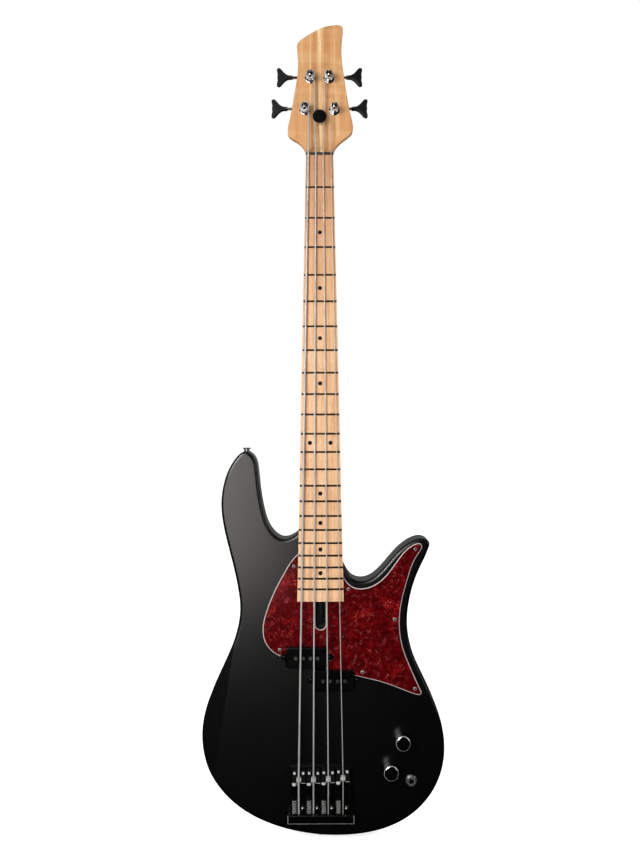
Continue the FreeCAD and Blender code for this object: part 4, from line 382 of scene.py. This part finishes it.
def maple_veins(finish):
    """Veins that wander across the grain and show only in places."""
    place = finish.mapped((1.0, 1.0, 0.16))
    wander = finish.noise(place, scale=120.0, detail=5.0, roughness=0.7, distortion=2.4)
    gate = finish.noise(finish.mapped((1.0, 1.0, 0.4)), scale=26.0, detail=2.0)
    shown = finish.spread(gate, high=0.75, start=0.44, stop=0.58)
    return finish.combine("MULTIPLY", finish.veins(wander, level=0.5, start=0.0, stop=0.025), shown)


def maple(name, pale, middle, dark, streak, sheen_level, nut_shade_tint=None):
    """Maple with its grain along Z: bands, painted sheen, fine lines, veins, pores and cross figure.

    The last argument, if given, is a painted-shade tint that deepens along the fingerboard towards the nut.
    """
    finish = Finish(name, middle, roughness=0.42, specular=0.4)
    bands = maple_bands(finish, sheen_level)
    colour = finish.ramp(bands, (0.34, dark), (0.44, middle), (0.59, middle), (0.76, pale))
    line = finish.noise(finish.mapped(ALONG_GRAIN), scale=330.0, detail=3.0, roughness=0.6, distortion=1.2)
    colour = finish.blend(finish.spread(line, high=0.45, start=0.52, stop=0.68), colour, streak)
    colour = finish.blend(maple_veins(finish), colour, streak)
    pores = finish.noise(finish.mapped((1.0, 1.0, 0.06)), scale=1100.0, detail=2.0, roughness=0.5)
    colour = finish.blend(finish.spread(pores, high=0.35, start=0.58, stop=0.72), colour, dark)
    across = finish.mapped((0.25, 0.25, 1.0))
    figure = finish.noise(across, scale=55.0, detail=2.0, roughness=0.4, distortion=0.8)
    colour = finish.blend(finish.spread(figure, high=0.18, start=0.45, stop=0.70), colour, pale)
    # painted shade: the board darkens and warms towards the nut
    if nut_shade_tint:
        low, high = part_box("fingerboard")
        start = low[2] + (high[2] - low[2]) * SHADE_FROM_SHARE
        nut_shade = finish.spread(finish.axis("Z"), start=start, stop=high[2])
        colour = finish.blend(nut_shade, colour, nut_shade_tint, how="MULTIPLY")
    finish.colour(colour)
    finish.roughness(finish.spread(line, low=0.38, high=0.52))
    finish.bump(pores, strength=0.05, distance=PORE_DEPTH)
    return finish.material


def shell_mottle(finish, cloud, deep, red, bright):
    """Clouded crimson with dark flecks, red embers, pale threads and warm sparks."""
    pink = (0.42, 0.095, 0.090)
    ember = (0.27, 0.007, 0.010)
    spark = (0.62, 0.17, 0.06)
    shadow = (0.014, 0.0002, 0.0004)
    shade = finish.noise(finish.mapped(turn=(0.6, 0.3, 0.9)), scale=130.0, detail=5.0, roughness=0.62,
                         distortion=2.2)
    cluster = finish.noise(finish.place, scale=34.0, detail=3.0, roughness=0.5, distortion=0.8)
    speck = finish.noise(finish.mapped(turn=(0.9, 0.1, 0.5)), scale=260.0, detail=3.0, roughness=0.6,
                         distortion=1.4)
    swirl = finish.noise(finish.place, scale=140.0, detail=4.0, roughness=0.6, distortion=3.8)
    broken = finish.noise(finish.mapped(turn=(0.4, 0.9, 0.2)), scale=170.0, detail=3.0)
    colour = finish.ramp(cloud, (0.34, deep), (0.5, red), (0.68, bright))
    colour = finish.blend(finish.spread(shade, high=0.85, start=0.55, stop=0.68), colour, shadow)
    glow = finish.combine("MULTIPLY", finish.spread(cluster, start=0.56, stop=0.66),
                          finish.spread(speck, start=0.46, stop=0.60))
    colour = finish.blend(glow, colour, ember)
    thread = finish.combine("MULTIPLY", finish.veins(swirl, level=0.52, start=0.004, stop=0.020),
                            finish.spread(broken, start=0.565, stop=0.625))
    colour = finish.blend(thread, colour, pink)
    fleck = finish.combine("MULTIPLY", finish.spread(speck, start=0.66, stop=0.72),
                           finish.spread(broken, low=0.2, start=0.40, stop=0.55))
    colour = finish.blend(fleck, colour, pink)
    warm = finish.combine("MULTIPLY", finish.spread(cluster, start=0.66, stop=0.71),
                          finish.spread(speck, start=0.57, stop=0.63))
    return finish.blend(warm, colour, spark)


def shell_guard():
    """Crimson mottled sheet over a pale layer that shows along the rim, and a dark one under it."""
    red = (0.078, 0.0007, 0.0018)
    finish = Finish("shell_guard", red, roughness=0.12, specular=0.25)
    cloud = finish.noise(finish.place, scale=75.0, detail=5.0, roughness=0.6, distortion=1.6)
    colour = shell_mottle(finish, cloud, deep=(0.036, 0.0003, 0.0010), red=red,
                          bright=(0.140, 0.0022, 0.0042))
    depth = finish.combine("SUBTRACT", finish.axis("Y"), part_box("pickguard")[0][1])
    rim = finish.spread(depth, start=GUARD_SKIN, stop=GUARD_SKIN + GUARD_FADE)
    under = finish.spread(depth, start=GUARD_CORE, stop=GUARD_CORE + GUARD_FADE)
    layer = finish.blend(under, (0.60, 0.52, 0.51), (0.03, 0.03, 0.03))
    finish.colour(finish.blend(rim, colour, layer))
    finish.roughness(finish.spread(cloud, low=0.10, high=0.15))
    return finish.material


# Metal

def plated(name, colour, roughness):
    """Polished plating with a trace of haze."""
    finish = Finish(name, colour, roughness, metallic=1.0)
    haze = finish.noise(finish.place, scale=260.0)
    finish.roughness(finish.hazed(haze, low=roughness * 0.7, high=roughness * 1.5))
    return finish.material


def brushed(name, colour, roughness):
    """Turned or drawn metal with fine lines along its length."""
    finish = Finish(name, colour, roughness, metallic=1.0)
    lines = finish.noise(finish.mapped((2200.0, 2200.0, 60.0)), scale=1.0, detail=3.0)
    finish.roughness(finish.hazed(lines, low=roughness * 0.75, high=roughness * 1.35))
    finish.bump(lines, strength=0.06, distance=BRUSH_DEPTH)
    return finish.material


def nickel_painted_recess_shade():
    """Nickelled screw heads, with painted shade darkening the middle round the driver recess."""
    nickel = (0.64, 0.61, 0.58)
    finish = Finish("nickel_painted_recess_shade", nickel, roughness=0.32, metallic=0.75)
    facing = finish.combine("ABSOLUTE", finish.part_of(finish.normal, "Y"))
    # painted shade: the middle of each head, where it faces out, is darkened round the recess
    middle = finish.spread(facing, high=0.85, start=0.88, stop=0.97)
    finish.colour(finish.blend(middle, nickel, (0.06, 0.052, 0.048)))
    haze = finish.noise(finish.place, scale=260.0)
    finish.roughness(finish.hazed(haze, low=0.22, high=0.48))
    return finish.material


def wound_wire():
    """Round-wound string: fine turns of bright wire across the string, a little dulled."""
    finish = Finish("wound_wire", (0.52, 0.51, 0.50), roughness=0.30, metallic=0.4)
    finish.bump(finish.turns("Z", scale=1100.0), strength=0.35, distance=WINDING_DEPTH)
    stain = finish.noise(finish.mapped((1.0, 1.0, 0.4)), scale=150.0, detail=3.0)
    finish.colour(finish.ramp(stain, (0.3, (0.44, 0.44, 0.435)), (0.7, (0.60, 0.60, 0.595))))
    return finish.material


def spring_wire():
    """Bright spring wire with a little haze."""
    finish = Finish("spring_wire", (0.42, 0.42, 0.41), roughness=0.4, metallic=0.25)
    haze = finish.noise(finish.place, scale=300.0, detail=3.0)
    finish.colour(finish.ramp(haze, (0.35, (0.34, 0.34, 0.335)), (0.65, (0.50, 0.50, 0.49))))
    finish.roughness(finish.hazed(haze, low=0.34, high=0.5))
    return finish.material


def copper_winding():
    """Fine copper wire wound round the pickup coils."""
    finish = Finish("copper_winding", (0.42, 0.13, 0.05), roughness=0.35, metallic=0.9)
    finish.bump(finish.turns("Y", scale=2400.0), strength=0.3, distance=COIL_DEPTH)
    return finish.material


def black_plate():
    """Black-plated bridge metal."""
    finish = Finish("black_plate", BLACK_PLATING, roughness=0.18)
    haze = finish.noise(finish.place, scale=180.0)
    finish.colour(finish.ramp(haze, (0.3, BLACK_PLATING), (0.75, paler(BLACK_PLATING, 2.0))))
    finish.roughness(finish.hazed(haze, low=0.12, high=0.22))
    return finish.material


def edged_block():
    """Black-plated tail block, with a painted pale-metal highlight along the ends and lower edge of its
    front.
    """
    finish = Finish("edged_block", BLACK_PLATING, roughness=0.16)
    low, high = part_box("bridge_tail_block")
    depth = finish.combine("SUBTRACT", finish.axis("Y"), low[1])
    front = finish.spread(depth, low=1.0, high=0.0, start=HIGHLIGHT_FRONT, stop=HIGHLIGHT_LIMIT)
    across = finish.combine("ABSOLUTE", finish.axis("X"))
    ends = finish.spread(across, start=high[0] - HIGHLIGHT_LIMIT, stop=high[0] - HIGHLIGHT_EDGE)
    up = finish.combine("SUBTRACT", finish.axis("Z"), low[2])
    foot = finish.spread(up, low=1.0, high=0.0, start=HIGHLIGHT_EDGE, stop=HIGHLIGHT_LIMIT)
    # painted highlight: pale metal along the ends and lower front edge, made patchy by haze
    edge_highlight = finish.combine("MULTIPLY", front, finish.combine("MAXIMUM", ends, foot))
    haze = finish.noise(finish.place, scale=180.0)
    patchy_highlight = finish.spread(haze, low=0.55, high=0.9, start=0.35, stop=0.65)
    finish.colour(finish.blend(finish.combine("MULTIPLY", edge_highlight, patchy_highlight), BLACK_PLATING, (0.45, 0.44, 0.43)))
    finish.roughness(finish.hazed(haze, low=0.14, high=0.24))
    return finish.material


def saddle_metal(name):
    """Black-plated saddle block with bright roller, height screws and boss, and a painted highlight on its
    lower edge.
    """
    finish = Finish("saddle_metal_" + name, BLACK_PLATING, roughness=0.15, metallic=0.45)
    block, small = saddle_pieces(name)
    # bright over the boss, and along the lower edge as a painted highlight
    bright = finish.combine("LESS_THAN", finish.axis("Z"), block[0].z + SADDLE_BOSS + SADDLE_EDGE_HIGHLIGHT)
    for low, high in small:
        bright = finish.combine("MAXIMUM", bright, finish.within(low, high, SADDLE_MARGIN))
    finish.colour(finish.blend(bright, (0.012, 0.012, 0.013), (0.93, 0.93, 0.93)))
    haze = finish.noise(finish.place, scale=260.0)
    finish.roughness(finish.hazed(haze, low=0.10, high=0.22))
    return finish.material


def socket_chrome():
    """Satin jack bush whose bore has painted shade, near black, inside."""
    finish = Finish("socket_chrome", CHROME, roughness=0.2, metallic=0.92)
    low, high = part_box("output_jack")
    bore = finish.combine("LESS_THAN", finish.from_centre(low, high), JACK_BORE + JACK_MARGIN)
    deep = finish.combine("GREATER_THAN", finish.axis("Y"), low[1] + JACK_RIM)
    # painted shade: near black inside the bore, behind its rim
    finish.colour(finish.blend(finish.combine("MULTIPLY", bore, deep), CHROME, (0.004, 0.004, 0.004)))
    haze = finish.noise(finish.place, scale=260.0)
    finish.roughness(finish.hazed(haze, low=0.14, high=0.24))
    return finish.material


def knob_chrome(node):
    """Bright knob with a satin ring turned round the edge of its face, and a duller side."""
    finish = Finish(node + "_chrome", CHROME, roughness=0.07, metallic=1.0)
    low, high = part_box(node)
    side = finish.combine("GREATER_THAN", finish.axis("Y"), low[1] + KNOB_ROUND)
    finish.colour(finish.blend(side, CHROME, (0.36, 0.36, 0.365)))
    radius = (high[0] - low[0]) / 2
    outer = finish.combine("GREATER_THAN", finish.from_centre(low, high), radius - KNOB_RING)
    front = finish.combine("LESS_THAN", finish.axis("Y"), low[1] + KNOB_RING)
    ring = finish.combine("MULTIPLY", outer, front)
    polish = finish.hazed(finish.noise(finish.place, scale=260.0), low=0.05, high=0.10)
    finish.roughness(finish.combine("ADD", polish, finish.spread(ring, high=0.25)))
    finish.join(finish.spread(ring, low=1.0, high=0.55), finish.shader.inputs["Metallic"])
    return finish.material


# Plastic and foam

def moulded(name, colour, roughness, grain=1800.0, specular=0.5):
    """Moulded plastic with a fine skin and a slight change of sheen."""
    finish = Finish(name, colour, roughness, specular=specular)
    skin = finish.noise(finish.place, scale=grain, detail=3.0)
    finish.bump(skin, strength=0.08, distance=SKIN_DEPTH)
    sheen = finish.noise(finish.place, scale=60.0, detail=3.0)
    finish.roughness(finish.hazed(sheen, low=roughness * 0.85, high=roughness * 1.15))
    finish.colour(finish.ramp(sheen, (0.3, colour), (0.75, paler(colour, 1.6))))
    return finish.material


def foam():
    """Open-celled foam under the pickup coils."""
    finish = Finish("pickup_foam", (0.03, 0.03, 0.03), roughness=0.95)
    cells = finish.add("ShaderNodeTexVoronoi")
    cells.inputs["Scale"].default_value = 1600.0
    finish.join(finish.place, cells.inputs["Vector"])
    finish.bump(cells.outputs["Distance"], strength=0.5, distance=FOAM_DEPTH)
    return finish.material


# Dressing the nodes

def dress(material, *names):
    for name in names:
        data = NODES[name].data
        data.materials.clear()
        data.materials.append(material)


def dress_wood():
    neck = maple("maple_neck", pale=(0.89, 0.66, 0.38), middle=(0.61, 0.312, 0.126),
                 dark=(0.53, 0.245, 0.092), streak=(0.46, 0.200, 0.072), sheen_level=0.74)
    board = maple("maple_board", pale=(0.91, 0.68, 0.44), middle=(0.79, 0.490, 0.270),
                  dark=(0.66, 0.345, 0.175), streak=(0.42, 0.165, 0.080), sheen_level=0.5,
                  nut_shade_tint=(0.68, 0.54, 0.46))
    dress(satin_lacquer(), "body")
    dress(neck, "neck")
    dress(board, "fingerboard")


def dress_metal():
    chrome = plated("bright_chrome", CHROME, roughness=0.07)
    smoked_chrome = plated("smoked_chrome", (0.26, 0.26, 0.265), roughness=0.14)
    dark_steel = plated("dark_steel", (0.045, 0.045, 0.048), roughness=0.25)
    steel = brushed("drawn_steel", (0.58, 0.57, 0.55), roughness=0.3)
    for name in STRINGS:
        dress(saddle_metal(name), "saddle_" + name)
        dress(chrome, "tuner_worm_" + name, "tuner_post_" + name)
        dress(dark_steel, "intonation_screw_" + name)
    dress(chrome, "neck_bolts", "neck_ferrules", "tuner_bushings", "tuner_screws",
          "volume_knob", "tone_knob")
    dress(smoked_chrome, "strap_button_tail", "strap_button_horn", "strap_screws", "bridge_screws")
    dress(dark_steel, "pickup_screws")
    dress(steel, "truss_rod", "pot_cases", "volume_shaft", "tone_shaft")
    dress(plated("satin_chrome", CHROME, roughness=0.26), "control_nuts")
    # near-black fret wire: a painted reflection of the dark surroundings
    dress(brushed("fret_wire", (0.040, 0.034, 0.030), roughness=0.35), "frets")
    dress(brushed("plate_steel", (0.40, 0.40, 0.405), roughness=0.34), "tuner_plates")
    dress(brushed("magnet_steel", (0.17, 0.165, 0.16), roughness=0.3), "pole_pieces")
    dress(nickel_painted_recess_shade(), "panel_screws")
    dress(socket_chrome(), "output_jack")
    dress(spring_wire(), "intonation_springs")
    dress(wound_wire(), "strings")
    dress(copper_winding(), "pickup_coils")
    dress(black_plate(), "bridge_plate")
    dress(edged_block(), "bridge_tail_block")


def dress_plastic():
    """Dresses the plastic pieces, and gives back the black that fills recesses and sockets as painted
    shade.
    """
    satin_black = moulded("satin_black_plastic", grey(0.0055), roughness=0.45)
    button_black = moulded("button_black_plastic", grey(0.0035), roughness=0.36, specular=0.3)
    dot_black = moulded("dot_black_plastic", (0.0045, 0.0040, 0.0036), roughness=0.5, specular=0.1)
    gloss_black = moulded("gloss_black_plastic", (0.0012, 0.0012, 0.0013), roughness=0.16, grain=900.0)
    for name in STRINGS:
        dress(button_black, "tuner_button_" + name)
    dress(satin_black, "nut", "control_cover")
    dress(dot_black, "inlay_dots")
    dress(gloss_black, "pickup_covers", "string_retainer", "truss_rod_nut", "tone_capacitor")
    dress(moulded("cable_sheath", grey(0.02), roughness=0.5, grain=700.0), "hookup_wires")
    dress(shell_guard(), "pickguard")
    dress(foam(), "pickup_foam")
    return gloss_black


# Detail pieces

def deselect_all():
    if bpy.context.object and bpy.context.object.mode != "OBJECT":
        bpy.ops.object.mode_set(mode="OBJECT")
    bpy.ops.object.select_all(action="DESELECT")


def start_editing_faces():
    bpy.ops.object.mode_set(mode="EDIT")
    bpy.ops.mesh.select_mode(type="FACE")


def pick_faces(piece, wanted):
    """Selects the faces that pass a test, in edit mode."""
    work = bmesh.from_edit_mesh(piece.data)
    for face in work.faces:
        face.select_set(wanted(face))
    bmesh.update_edit_mesh(piece.data)


def finish_piece(piece, name, material, body):
    """Sets a piece's name, material and body once its mesh is in place."""
    piece.name = name
    piece.data.name = name
    piece.data.materials.clear()
    piece.data.materials.append(material)
    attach(piece, body)


def copies_at(master, places):
    """Copies of a piece, each turned and moved, joined into one mesh."""
    copies = []
    for place in places:
        copy = master.copy()
        copy.data = master.data.copy()
        bpy.context.collection.objects.link(copy)
        copy.data.transform(place)
        copies.append(copy)
    bpy.data.objects.remove(master)
    deselect_all()
    for copy in copies:
        copy.select_set(True)
    bpy.context.view_layer.objects.active = copies[0]
    if len(copies) > 1:
        bpy.ops.object.join()
    return bpy.context.object


def cross_recess(width, arm):
    """Cross-shaped driver recess, lying across Y at the origin, with arms that narrow inwards."""
    deselect_all()
    bpy.ops.mesh.primitive_cube_add(size=1.0)
    cross = bpy.context.object
    cross.scale = (width, RECESS_DEPTH, width)
    bpy.ops.object.transform_apply(scale=True)
    start_editing_faces()
    pick_faces(cross, lambda face: abs(face.normal.y) < FACING)
    bpy.ops.mesh.extrude_faces_move(TRANSFORM_OT_shrink_fatten={"value": -arm})
    work = bmesh.from_edit_mesh(cross.data)
    for vertex in work.verts:
        far = max(abs(vertex.co.x), abs(vertex.co.z))
        vertex.select_set(far > width and vertex.co.y > 0)
    bmesh.update_edit_mesh(cross.data)
    bpy.ops.transform.resize(value=(RECESS_TAPER_SHARE, 1.0, RECESS_TAPER_SHARE))
    bpy.ops.object.mode_set(mode="OBJECT")
    return cross


def recess_places(node, all_behind):
    """Where the driver recesses of a node's screws lie, each at its own angle."""
    places = []
    for index, (low, high) in enumerate(pieces_of(node)):
        centre = (low + high) / 2
        behind = all_behind or centre.y > 0.0
        depth = high.y + RECESS_PROUD if behind else low.y - RECESS_PROUD
        flip = Matrix.Rotation(math.pi, 4, "X") if behind else Matrix.Identity(4)
        angle = RECESS_TURN * (RECESS_TURN_SKIP * index % RECESS_TURNS)
        turn = Matrix.Rotation(angle, 4, "Y")
        places.append(Matrix.Translation((centre.x, depth, centre.z)) @ flip @ turn)
    return places


def add_screw_recesses(dark):
    # The recesses are solid black pieces set into the heads: painted shade in place of hollows.
    sunk = Matrix.Translation((0.0, RECESS_DEPTH / 2, 0.0))
    for node, width, arm, all_behind in SCREW_RECESSES:
        places = [place @ sunk for place in recess_places(node, all_behind)]
        piece = copies_at(cross_recess(width, arm), places)
        finish_piece(piece, node[:-1] + "_recesses", dark, "instrument")


def hex_socket(radius):
    """Six-sided key socket with a lipped mouth, lying across Y at the origin."""
    deselect_all()
    bpy.ops.mesh.primitive_cylinder_add(vertices=SOCKET_SIDES, radius=radius, depth=RECESS_DEPTH,
                                        rotation=(math.pi / 2, 0.0, 0.0))
    socket = bpy.context.object
    bpy.ops.object.transform_apply(rotation=True)
    start_editing_faces()
    pick_faces(socket, lambda face: face.normal.y < -FACING)
    bpy.ops.mesh.inset(thickness=radius * SOCKET_LIP_SHARE, depth=-RECESS_DEPTH * SOCKET_LIP_SHARE)
    bpy.ops.object.mode_set(mode="OBJECT")
    return socket


def add_key_sockets(dark):
    """Key sockets in the ends of the saddles' height screws."""
    for name in STRINGS:
        _, small = saddle_pieces(name)
        places = []
        for low, high in small[-2:]:
            centre = (low + high) / 2
            depth = low.y + RECESS_DEPTH / 2 - RECESS_PROUD
            places.append(Matrix.Translation((centre.x, depth, centre.z)))
        # the sockets are black pieces: painted shade in place of hollows
        piece = copies_at(hex_socket(HEIGHT_SOCKET_RADIUS), places)
        finish_piece(piece, "height_screw_sockets_" + name, dark, "saddle_" + name)


def turned_knob(node):
    """Turned knob: straight side, rounded front edge, a faintly crowned face and a hollow back."""
    low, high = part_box(node)
    centre = [(first + last) / 2 for first, last in zip(low, high)]
    radius = (high[0] - low[0]) / 2
    deselect_all()
    bpy.ops.mesh.primitive_cylinder_add(vertices=KNOB_SIDES, radius=radius, depth=high[1] - low[1],
                                        location=centre, rotation=(math.pi / 2, 0.0, 0.0))
    knob = bpy.context.object
    bpy.ops.object.transform_apply(location=True, rotation=True)
    start_editing_faces()
    pick_faces(knob, lambda face: face.normal.y > FACING)
    bpy.ops.mesh.inset(thickness=radius - KNOB_CUP)
    bpy.ops.mesh.extrude_region_move(TRANSFORM_OT_translate={"value": (0.0, -KNOB_CUP_DEPTH, 0.0)})
    bpy.ops.mesh.select_all(action="DESELECT")
    pick_faces(knob, lambda face: face.normal.y < -FACING)
    bpy.ops.mesh.bevel(offset=KNOB_ROUND, segments=KNOB_ROUND_STEPS, profile=0.5, affect="EDGES")
    bpy.ops.mesh.select_all(action="DESELECT")
    front = low[1] + KNOB_FACE_MARGIN
    pick_faces(knob, lambda face: face.normal.y < -FACING and face.calc_center_median().y < front)
    ring = (radius - KNOB_ROUND) / KNOB_CROWN_PARTS
    for step in range(KNOB_CROWN_RINGS):
        bpy.ops.mesh.inset(thickness=ring, depth=-KNOB_CROWN_STEP * (step + 1))
    bpy.ops.object.mode_set(mode="OBJECT")
    bpy.ops.object.shade_smooth_by_angle(angle=KNOB_SMOOTH_ANGLE)
    return knob


def add_knobs(dark):
    """Knobs with a key socket for the set screw in the lower side of each."""
    downward = Matrix.Rotation(math.pi / 2, 4, "X")
    for name in ("volume", "tone"):
        low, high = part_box(name + "_knob")
        knob = turned_knob(name + "_knob")
        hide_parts(name + "_knob")
        finish_piece(knob, name + "_knob_turned", knob_chrome(name + "_knob"), name + "_control")
        across = (low[0] + high[0]) / 2
        up = low[2] + RECESS_DEPTH / 2 - RECESS_PROUD
        place = Matrix.Translation((across, high[1] - SET_SCREW_UP, up))
        # the socket is a black piece: painted shade in place of a hollow
        socket = copies_at(hex_socket(SET_SCREW_RADIUS), [place @ downward])
        finish_piece(socket, name + "_knob_set_screw", dark, name + "_control")


# Camera, light and floor

def add_camera():
    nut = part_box("nut")[0]
    board_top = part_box("fingerboard")[0][1]
    data = bpy.data.cameras.new("camera")
    data.sensor_fit = "HORIZONTAL"
    data.sensor_width = SENSOR_WIDTH
    data.lens = FOCAL_PIXELS * SENSOR_WIDTH / IMAGE_WIDTH
    data.shift_y = (OPTICAL_AXIS_PIXEL - IMAGE_HEIGHT / 2) / IMAGE_WIDTH
    camera = bpy.data.objects.new("camera", data)
    camera.location = (0.0, board_top - CAMERA_DISTANCE, nut[2] - CAMERA_BELOW_NUT)
    camera.rotation_euler = (math.pi / 2 + CAMERA_PITCH, 0.0, 0.0)
    camera.rotation_euler.rotate_axis("Z", CAMERA_ROLL)
    bpy.context.collection.objects.link(camera)
    bpy.context.scene.camera = camera


def add_panel(name, place, target, size, power, colour=(1.0, 1.0, 1.0)):
    """Soft rectangular lamp that faces a point."""
    data = bpy.data.lights.new(name, "AREA")
    data.shape = "RECTANGLE"
    data.size, data.size_y = size
    data.energy = power
    data.color = colour
    lamp = bpy.data.objects.new(name, data)
    lamp.location = place
    lamp.rotation_euler = (Vector(target) - Vector(place)).to_track_quat("-Z", "Y").to_euler()
    bpy.context.collection.objects.link(lamp)


def add_lights():
    middle = (0.0, 0.0, 0.55)
    add_panel("left_front_panel", place=(-0.575, -1.6, 0.78), target=(-0.575, 0.0, 0.78), size=(0.85, 1.56),
              power=15.5, colour=(1.0, 0.965, 0.935))
    add_panel("left_key", place=(-0.88, -1.5, 1.0), target=middle, size=(0.12, 0.6), power=14.5,
              colour=(1.0, 0.98, 0.96))
    add_panel("right_strip", place=(1.5, -1.2, 0.8), target=middle, size=(0.2, 1.4), power=4.0)
    add_panel("top_panel", place=(0.0, -0.9, 2.4), target=middle, size=(1.6, 0.8), power=1.0)


def add_world():
    """White behind the instrument and dim in front; grey in reflections, and plain white for the camera."""
    world = bpy.data.worlds.new("studio")
    world.use_nodes = True
    bpy.context.scene.world = world
    nodes = NodeTree(world.node_tree)
    direction = nodes.add("ShaderNodeTexCoord").outputs["Generated"]
    sweep = nodes.spread(nodes.part_of(direction, "Y"), low=WORLD_FRONT, high=WORLD_BACK,
                         start=WORLD_SWEEP_START, stop=WORLD_SWEEP_STOP, how="SMOOTHSTEP")
    path = nodes.add("ShaderNodeLightPath").outputs
    held = nodes.combine("MULTIPLY", path["Is Glossy Ray"], 1.0 - WORLD_MIRRORED_SHARE)
    lit = nodes.combine("MULTIPLY", sweep, nodes.combine("SUBTRACT", 1.0, held))
    seen = nodes.combine("MAXIMUM", path["Is Camera Ray"], path["Is Transmission Ray"])
    background = world.node_tree.nodes["Background"].inputs
    background["Color"].default_value = (1.0, 1.0, 1.0, 1.0)
    nodes.join(nodes.combine("MAXIMUM", lit, seen), background["Strength"])


def white_floor():
    """Pale floor, white to the camera apart from a soft shadow, and dark in reflections."""
    finish = Finish("white_floor", FLOOR_GREY, roughness=0.8, specular=0.0)
    grain = finish.noise(finish.place, scale=6.0, detail=2.0)
    finish.roughness(finish.spread(grain, low=0.75, high=0.85))
    path = finish.add("ShaderNodeLightPath").outputs
    seen = finish.combine("MAXIMUM", path["Is Camera Ray"], path["Is Transmission Ray"])
    finish.shader.inputs["Emission Color"].default_value = (1.0, 1.0, 1.0, 1.0)
    finish.join(finish.combine("MULTIPLY", seen, FLOOR_GLOW), finish.shader.inputs["Emission Strength"])
    finish.colour(finish.blend(path["Is Glossy Ray"], FLOOR_GREY, FLOOR_MIRRORED))
    return finish.material


def add_floor():
    deselect_all()
    bpy.ops.mesh.primitive_plane_add(size=FLOOR_SIZE, location=(0.0, 0.0, cad_box[0][2] - FLOOR_DROP))
    floor = bpy.context.object
    floor.name = "floor"
    bpy.ops.object.transform_apply(location=True)
    floor.data.materials.append(white_floor())


bpy.context.scene.view_settings.view_transform = "Standard"
add_camera()
dress_wood()
dress_metal()
dark = dress_plastic()
add_screw_recesses(dark)
add_key_sockets(dark)
add_knobs(dark)
add_lights()
add_world()
add_floor()
